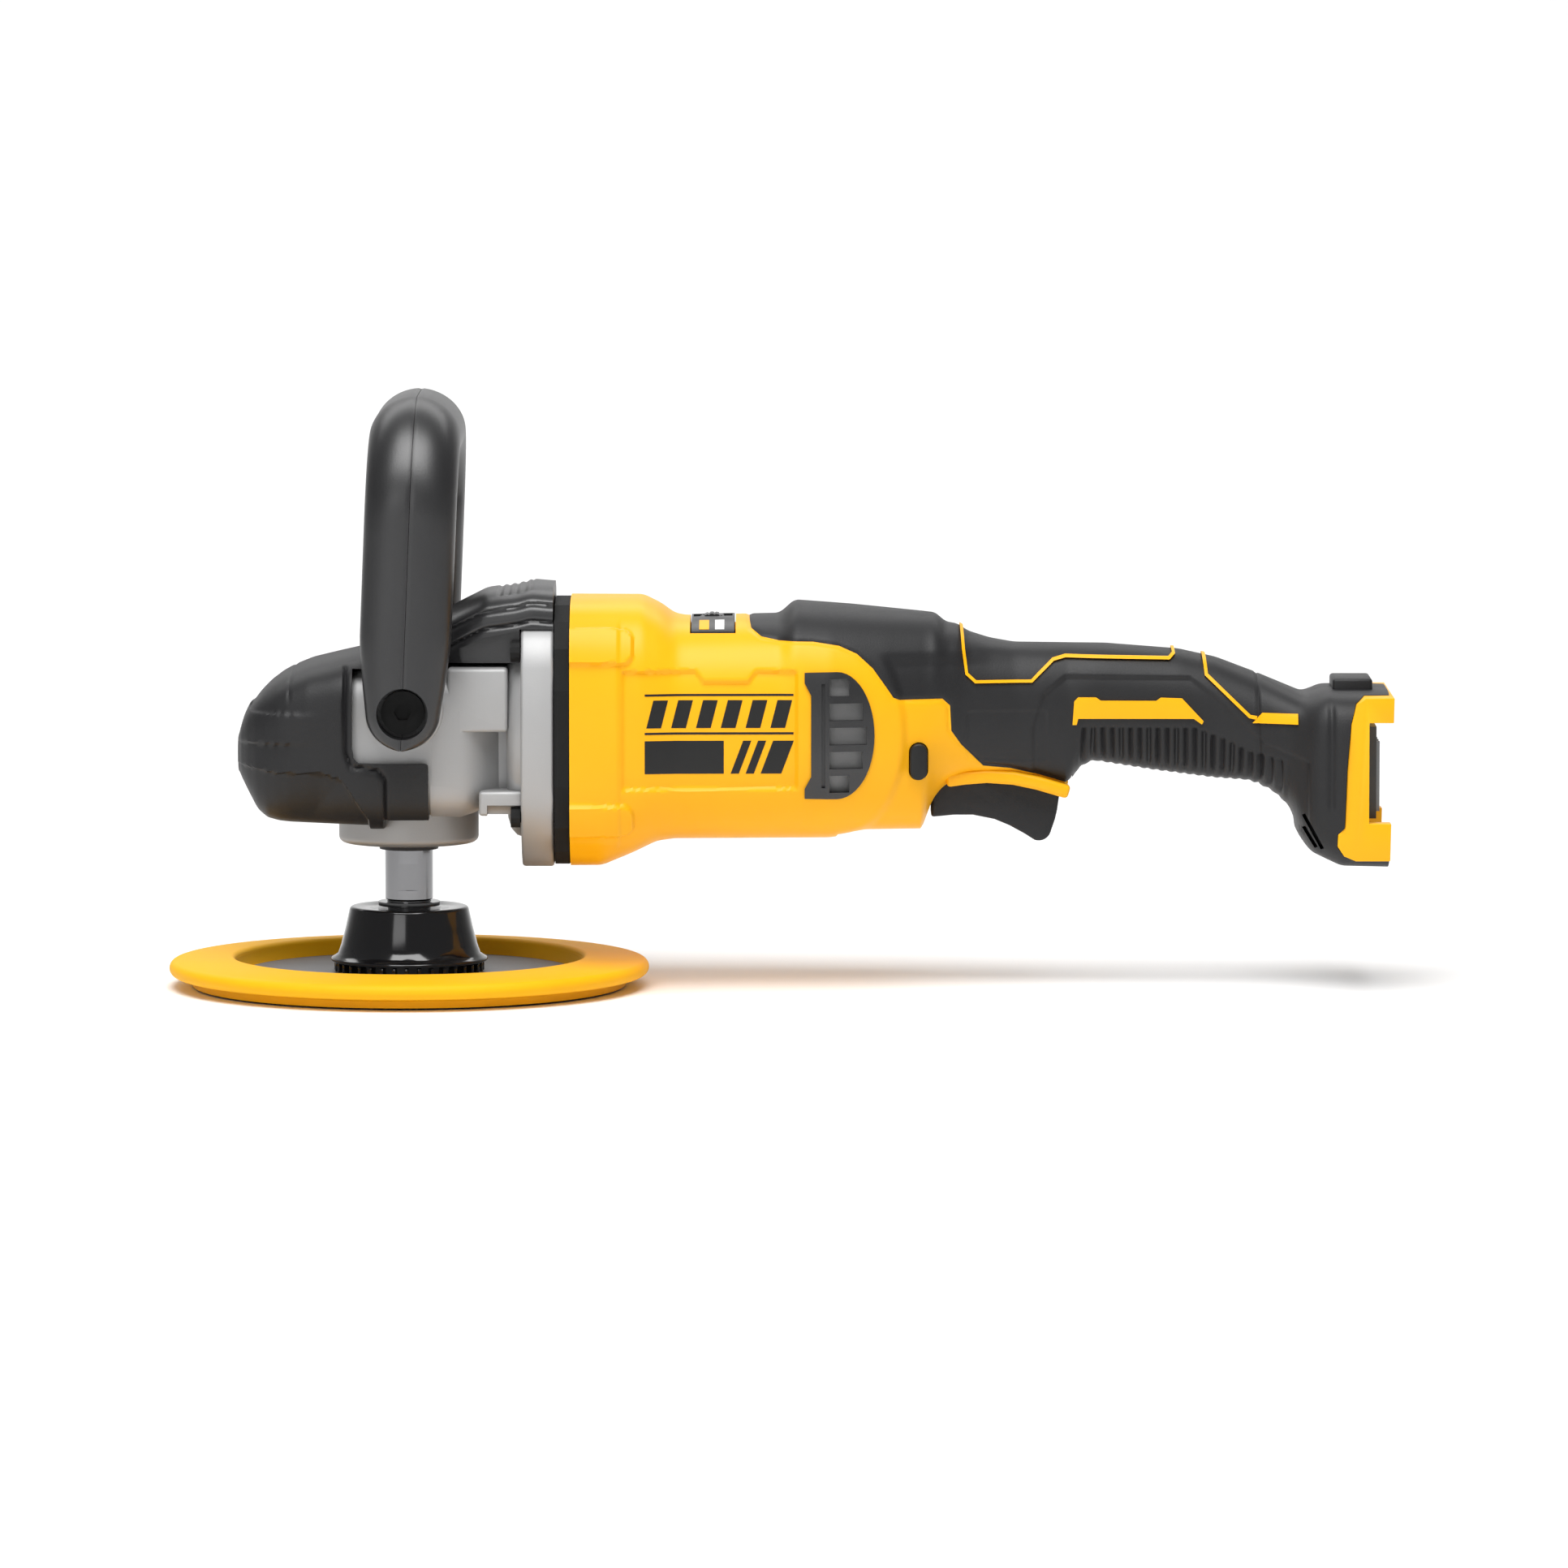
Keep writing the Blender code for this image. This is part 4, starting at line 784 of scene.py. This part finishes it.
def handle_ring(y, z, direction, width, thickness, power, count=96):
    """The handle's section square to its path, pinched a little along its seam."""
    x, off = oval(width / 2, -thickness / 2, thickness / 2, power, count)
    off = off * (1.0 - 0.02 * np.exp(-(x / 0.5) ** 2))
    across = (-math.sin(direction), math.cos(direction))
    return np.stack([x, y + across[0] * off, z + across[1] * off], 1)


def make_handle():
    whole = loft("whole", [handle_ring(*station) for station in handle_path()], sharp=60.0)
    for side in SIDES.values():
        ends = sorted((side * (HANDLE_HALF_WIDTH - 12.0), side * 90.0))
        cut(whole, rod("recess", "Y", (0.0, 0.0), 9.4, *ends))
        ends = sorted((side * 40.0, side * 90.0))
        cut(whole, rod("bore", "Y", (0.0, 0.0), 5.1, *ends))
    lean = Matrix.Translation((PIVOT[0] * MM, 0.0, PIVOT[1] * MM)) @ Matrix.Rotation(HANDLE_LEAN, 4, "Y")
    rear = copy_of(whole, "bail_handle_rear_half")
    whole.name = "bail_handle_front_half"
    keep(whole, box("half", (-60.0, -90.0, -40.0), (-GAP / 4, 90.0, 140.0)))
    keep(rear, box("half", (GAP / 4, -90.0, -40.0), (60.0, 90.0, 140.0)))
    for half, node in ((whole, "bail_handle_front"), (rear, "bail_handle_rear")):
        half.data.transform(lean)
        shade(half, 50.0)
        place(half, "handle", node, finish="black_plastic", slot="black_plastic")


def make_trigger():
    outline = [(193.8, 80.0), (193.5, 63.4), (202.0, 64.2), (209.0, 64.2), (217.0, 62.6), (222.5, 60.3),
               (228.0, 57.3), *arc((233.4, 59.2), 4.6, -110.0, -20.0, 8), (239.4, 62.6), (240.2, 66.0),
               (241.3, 74.0), (236.0, 80.0), (207.0, 80.0), *arc((201.0, 80.0), 4.6, 5.7, 175.0, 12)]
    trigger = soften(prism("trigger_lever", outline, "Y", -8.8, 8.8), 1.9, 5, 50.0)
    cut(trigger, rod("bore", "Y", (201.0, 80.0), 2.05, -20.0, 20.0))
    place(trigger, "trigger", "trigger", finish="black_rubber", slot="black_plastic")


def make_lock_button():
    button = soften(prism("lock_slide", pill_outline(-0.1), "Y", -33.4, -22.0), 0.8, 3)
    place(button, "lock_button", "lock_button", finish="label_black", slot="black_plastic")


def make_dial():
    xs = np.arange(DIAL_X - 8.0, DIAL_X + 8.01, 0.8)
    window = box("window", (DIAL_X - 7.2, -5.4, 120.0), (DIAL_X + 7.2, 5.4, 160.0))
    halves = [body_shell("half", side, xs, outset=0.3, wall=1.9) for side in SIDES.values()]
    bezel = merge("dial_surround", halves, "gloss_black")
    keep(bezel, box("outline", (DIAL_X - 7.9, -25.8, 127.0), (DIAL_X + 7.9, 25.8, 160.0)))
    cut(bezel, window)
    place(bezel, "tool", "dial_bezel", finish="black_plastic", slot="black_plastic")
    centre = (DIAL_X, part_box("speed_dial")[1].z / MM - 8.0)
    wheel = []
    for i in range(144):
        turn = 2 * math.pi * i / 144
        radius = 7.95 - 0.35 * (i % 6 >= 4)
        wheel.append((centre[0] + radius * math.cos(turn), centre[1] + radius * math.sin(turn)))
    dial = prism("dial_wheel", wheel, "Y", -5.0, 5.0)
    cut(dial, rod("bore", "Y", centre, 1.6, -9.0, 9.0))
    place(dial, "speed_dial", "speed_dial", finish="black_plastic", slot="black_plastic")


def make_dial_marks():
    """Plain marks beside the dial, one yellow and one white."""
    xs = np.arange(DIAL_X - 8.0, DIAL_X + 8.01, 0.8)
    for name, side in SIDES.items():
        for finish, left, wide in (("yellow_plastic", -5.0, 3.6), ("mark_white", 0.8, 3.4)):
            mark = body_shell(f"dial_{name}_{finish}", side, xs, outset=0.42, wall=0.5)
            ends = sorted((side * 15.0, side * 24.5))
            start = DIAL_X + left
            keep(mark, box("outline", (start, ends[0], 130.0), (start + wide, ends[1], 160.0)))
            place(mark, "tool", finish=finish)


# ---------------------------------------------------------------- materials

FINISHES = {
    # name: colour, roughness, metallic, grain size in mm, grain depth in mm, mottle, coat, specular level
    "yellow_plastic": ((0.93, 0.435, 0.004), 0.4, 0.0, 0.5, 0.012, 0.05, 0.0, 0.25),
    "pad_foam": ((0.93, 0.47, 0.004), 0.6, 0.0, 0.35, 0.05, 0.08, 0.0, 0.2),
    "black_plastic": ((0.011, 0.011, 0.012), 0.38, 0.0, 0.6, 0.03, 0.25, 0.0, 0.7),
    "black_rubber": ((0.013, 0.013, 0.014), 0.5, 0.0, 0.6, 0.06, 0.25, 0.0, 0.35),
    "deep_black": ((0.008, 0.008, 0.008), 0.7, 0.0, 0.5, 0.02, 0.1, 0.0, 0.2),
    "gloss_black": ((0.006, 0.006, 0.007), 0.12, 0.0, 3.0, 0.004, 0.1, 0.0, 0.6),
    "label_black": ((0.012, 0.012, 0.012), 0.45, 0.0, 0.5, 0.004, 0.1, 0.0, 0.3),
    "cast_aluminium": ((0.40, 0.40, 0.40), 0.55, 0.45, 0.55, 0.03, 0.1, 0.0, 0.4),
    "dull_aluminium": ((0.36, 0.36, 0.36), 0.5, 0.6, 0.55, 0.03, 0.1, 0.0, 0.4),
    "chrome": ((0.2, 0.2, 0.205), 0.14, 1.0, 0.8, 0.002, 0.05, 0.0, 0.5),
    "steel": ((0.16, 0.16, 0.16), 0.32, 1.0, 0.6, 0.01, 0.15, 0.0, 0.5),
    "copper": ((0.6, 0.27, 0.12), 0.35, 1.0, 0.6, 0.01, 0.15, 0.0, 0.5),
    "grey_mesh": ((0.22, 0.22, 0.22), 0.55, 0.1, 1.1, 0.1, 0.2, 0.0, 0.3),
    "grey_plate": ((0.15, 0.15, 0.155), 0.45, 0.0, 0.7, 0.01, 0.12, 0.0, 0.4),
    "hook_black": ((0.018, 0.018, 0.018), 0.95, 0.0, 0.7, 0.25, 0.4, 0.0, 0.2),
    "mark_white": ((0.75, 0.75, 0.75), 0.45, 0.0, 0.5, 0.004, 0.05, 0.0, 0.3),
}


def material(name):
    """A moulded or cast surface: fine grain in its bump and roughness, soft blotches in its colour, and a
    painted highlight on its convex edges.
    """
    found = bpy.data.materials.get("look_" + name)
    if found:
        return found
    colour, roughness, metallic, grain, depth, mottle, coat, specular = FINISHES[name]
    made = bpy.data.materials.new("look_" + name)
    made.use_nodes = True
    nodes, links = made.node_tree.nodes, made.node_tree.links
    shader = nodes["Principled BSDF"]
    shader.inputs["Metallic"].default_value = metallic
    shader.inputs["Coat Weight"].default_value = coat
    shader.inputs["Specular IOR Level"].default_value = specular
    shader.inputs["Coat Roughness"].default_value = 0.08
    place_at = nodes.new("ShaderNodeTexCoord")
    fine = noise(nodes, links, place_at, 1.0 / (grain * MM), 3.0)
    broad = noise(nodes, links, place_at, 28.0, 4.0)
    tint = nodes.new("ShaderNodeMix")
    tint.data_type = "RGBA"
    tint.inputs["A"].default_value = (*[c * (1 - mottle) for c in colour], 1.0)
    tint.inputs["B"].default_value = (*[min(c * (1 + mottle), 1.0) for c in colour], 1.0)
    links.new(broad.outputs["Fac"], tint.inputs["Factor"])
    # Painted highlight: convex edges are made lighter in the base colour itself, not by the lamps.
    edges = painted_edge_highlight(nodes, links, tint.outputs["Result"], colour)
    links.new(edges, shader.inputs["Base Color"])
    rough = nodes.new("ShaderNodeMapRange")
    rough.inputs["To Min"].default_value = roughness * 0.82
    rough.inputs["To Max"].default_value = min(roughness * 1.18, 1.0)
    blend = nodes.new("ShaderNodeMath")
    blend.operation = "ADD"
    links.new(fine.outputs["Fac"], blend.inputs[0])
    links.new(broad.outputs["Fac"], blend.inputs[1])
    rough.inputs["From Max"].default_value = 2.0
    links.new(blend.outputs["Value"], rough.inputs["Value"])
    links.new(rough.outputs["Result"], shader.inputs["Roughness"])
    bump = nodes.new("ShaderNodeBump")
    bump.inputs["Strength"].default_value = 1.0
    bump.inputs["Distance"].default_value = depth * MM
    links.new(fine.outputs["Fac"], bump.inputs["Height"])
    links.new(bump.outputs["Normal"], shader.inputs["Normal"])
    return made


def noise(nodes, links, coordinates, scale, detail):
    made = nodes.new("ShaderNodeTexNoise")
    made.inputs["Scale"].default_value = scale
    made.inputs["Detail"].default_value = detail
    links.new(coordinates.outputs["Object"], made.inputs["Vector"])
    return made


def painted_edge_highlight(nodes, links, colour_socket, colour):
    """Paints a highlight into the colour of convex edges, lightening them a little where light would catch
    them.
    """
    geometry = nodes.new("ShaderNodeNewGeometry")
    ramp = nodes.new("ShaderNodeMapRange")
    ramp.inputs["From Min"].default_value = 0.54
    ramp.inputs["From Max"].default_value = 0.66
    ramp.inputs["To Max"].default_value = 0.5
    links.new(geometry.outputs["Pointiness"], ramp.inputs["Value"])
    # The lighter colour here is the painted edge highlight.
    highlight_mix = nodes.new("ShaderNodeMix")
    highlight_mix.data_type = "RGBA"
    highlight_mix.inputs["B"].default_value = (*[min(c * 1.5 + 0.01, 1.0) for c in colour], 1.0)
    links.new(ramp.outputs["Result"], highlight_mix.inputs["Factor"])
    links.new(colour_socket, highlight_mix.inputs["A"])
    return highlight_mix.outputs["Result"]


NODE_FINISHES = {
    "gasket_plate": "deep_black", "terminal_block": "black_plastic",
    "motor_fan": "black_plastic", "switch_module": "black_plastic", "control_module": "grey_plate",
    "stator": "copper", "rotor_core": "steel", "rotor_shaft": "steel", "ring_gear": "steel",
    "pinion": "steel", "trigger_pin": "steel", "spindle_lock_button": "black_plastic",
}
NODE_FINISH_PREFIXES = {
    "flange_screw_": "deep_black", "retainer_screw_": "steel", "shell_screw_": "steel",
    "handle_bolt_": "deep_black",
    "terminal_blade_": "steel", "motor_bearing_": "steel", "spindle_bearing_": "steel",
}


def finish_nodes(frame):
    """Gives each CAD node that still shows its own material."""
    for name, obj in frame["nodes"].items():
        finish = NODE_FINISHES.get(name)
        for prefix, other in NODE_FINISH_PREFIXES.items():
            if name.startswith(prefix):
                finish = other
        if finish:
            obj.data.materials.clear()
            obj.data.materials.append(material(finish))


# ---------------------------------------------------------------- studio


def studio_material(name, colour, roughness):
    made = bpy.data.materials.new(name)
    made.use_nodes = True
    shader = made.node_tree.nodes["Principled BSDF"]
    shader.inputs["Base Color"].default_value = (*colour, 1.0)
    shader.inputs["Roughness"].default_value = roughness
    return made


def make_floor():
    """A pale floor that curves up into a backdrop."""
    profile = [(-12.0, 0.0), (3.0, 0.0)]
    profile += [(3.0 + 2.0 * math.sin(t), 2.0 - 2.0 * math.cos(t)) for t in np.linspace(0.1, math.pi / 2, 16)]
    profile += [(5.0, 8.0)]
    points = [(x, y, z) for y, z in profile for x in (-12.0, 12.0)]
    mesh = bpy.data.meshes.new("floor")
    mesh.from_pydata(points, [], [(2 * i, 2 * i + 1, 2 * i + 3, 2 * i + 2) for i in range(len(profile) - 1)])
    floor = bpy.data.objects.new("floor", mesh)
    bpy.context.scene.collection.objects.link(floor)
    mesh.materials.append(studio_material("floor_paint", (0.93, 0.93, 0.93), 0.9))
    mesh.shade_smooth()
    floor.location.z = -0.0004


def add_light(name, location, size, power, target=CAMERA_TARGET):
    data = bpy.data.lights.new(name, "AREA")
    data.shape = "RECTANGLE"
    data.size, data.size_y = size
    data.energy = power
    light = bpy.data.objects.new(name, data)
    bpy.context.scene.collection.objects.link(light)
    light.location = location
    light.rotation_euler = (Vector(target) - Vector(location)).to_track_quat("-Z", "Y").to_euler()


def make_studio():
    scene = bpy.context.scene
    scene.view_settings.view_transform = "Standard"
    world = bpy.data.worlds.new("studio")
    scene.world = world
    world.use_nodes = True
    background = world.node_tree.nodes["Background"]
    background.inputs["Color"].default_value = (1.0, 1.0, 1.0, 1.0)
    background.inputs["Strength"].default_value = 0.22
    add_light("key", (0.0, -0.85, 1.9), (1.5, 1.5), 54.0)
    add_light("front", (-0.9, -3.0, 0.9), (1.2, 1.0), 10.0)
    add_light("behind", (0.0, 2.6, 2.4), (4.5, 2.0), 75.0, (0.0, 2.9, 0.0))
    make_floor()


def make_camera():
    data = bpy.data.cameras.new("camera")
    data.lens = CAMERA_LENS
    data.sensor_width = 36.0
    data.clip_end = 60.0
    camera = bpy.data.objects.new("camera", data)
    bpy.context.scene.collection.objects.link(camera)
    back = Vector((0.0, -math.cos(CAMERA_ELEVATION), math.sin(CAMERA_ELEVATION)))
    camera.location = Vector(CAMERA_TARGET) + back * CAMERA_DISTANCE
    camera.rotation_euler = (-back).to_track_quat("-Z", "Y").to_euler()
    bpy.context.scene.camera = camera


def corners(bounds):
    return [list(corner) for corner in bounds]


for old in list(bpy.data.objects):
    bpy.data.objects.remove(old, do_unlink=True)
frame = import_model()
make_camera()
make_studio()
for side_name, side in SIDES.items():
    make_body(side_name, side)
    make_inlays(side_name, side)
    make_vent(side_name, side)
    make_lip(side_name, side)
make_rail()
make_foot_bump()
make_dial()
make_dial_marks()
make_nose()
make_gear_case()
make_shroud()
make_spindle_group()
make_pad_group()
make_handle()
make_trigger()
make_lock_button()
finish_nodes(frame)
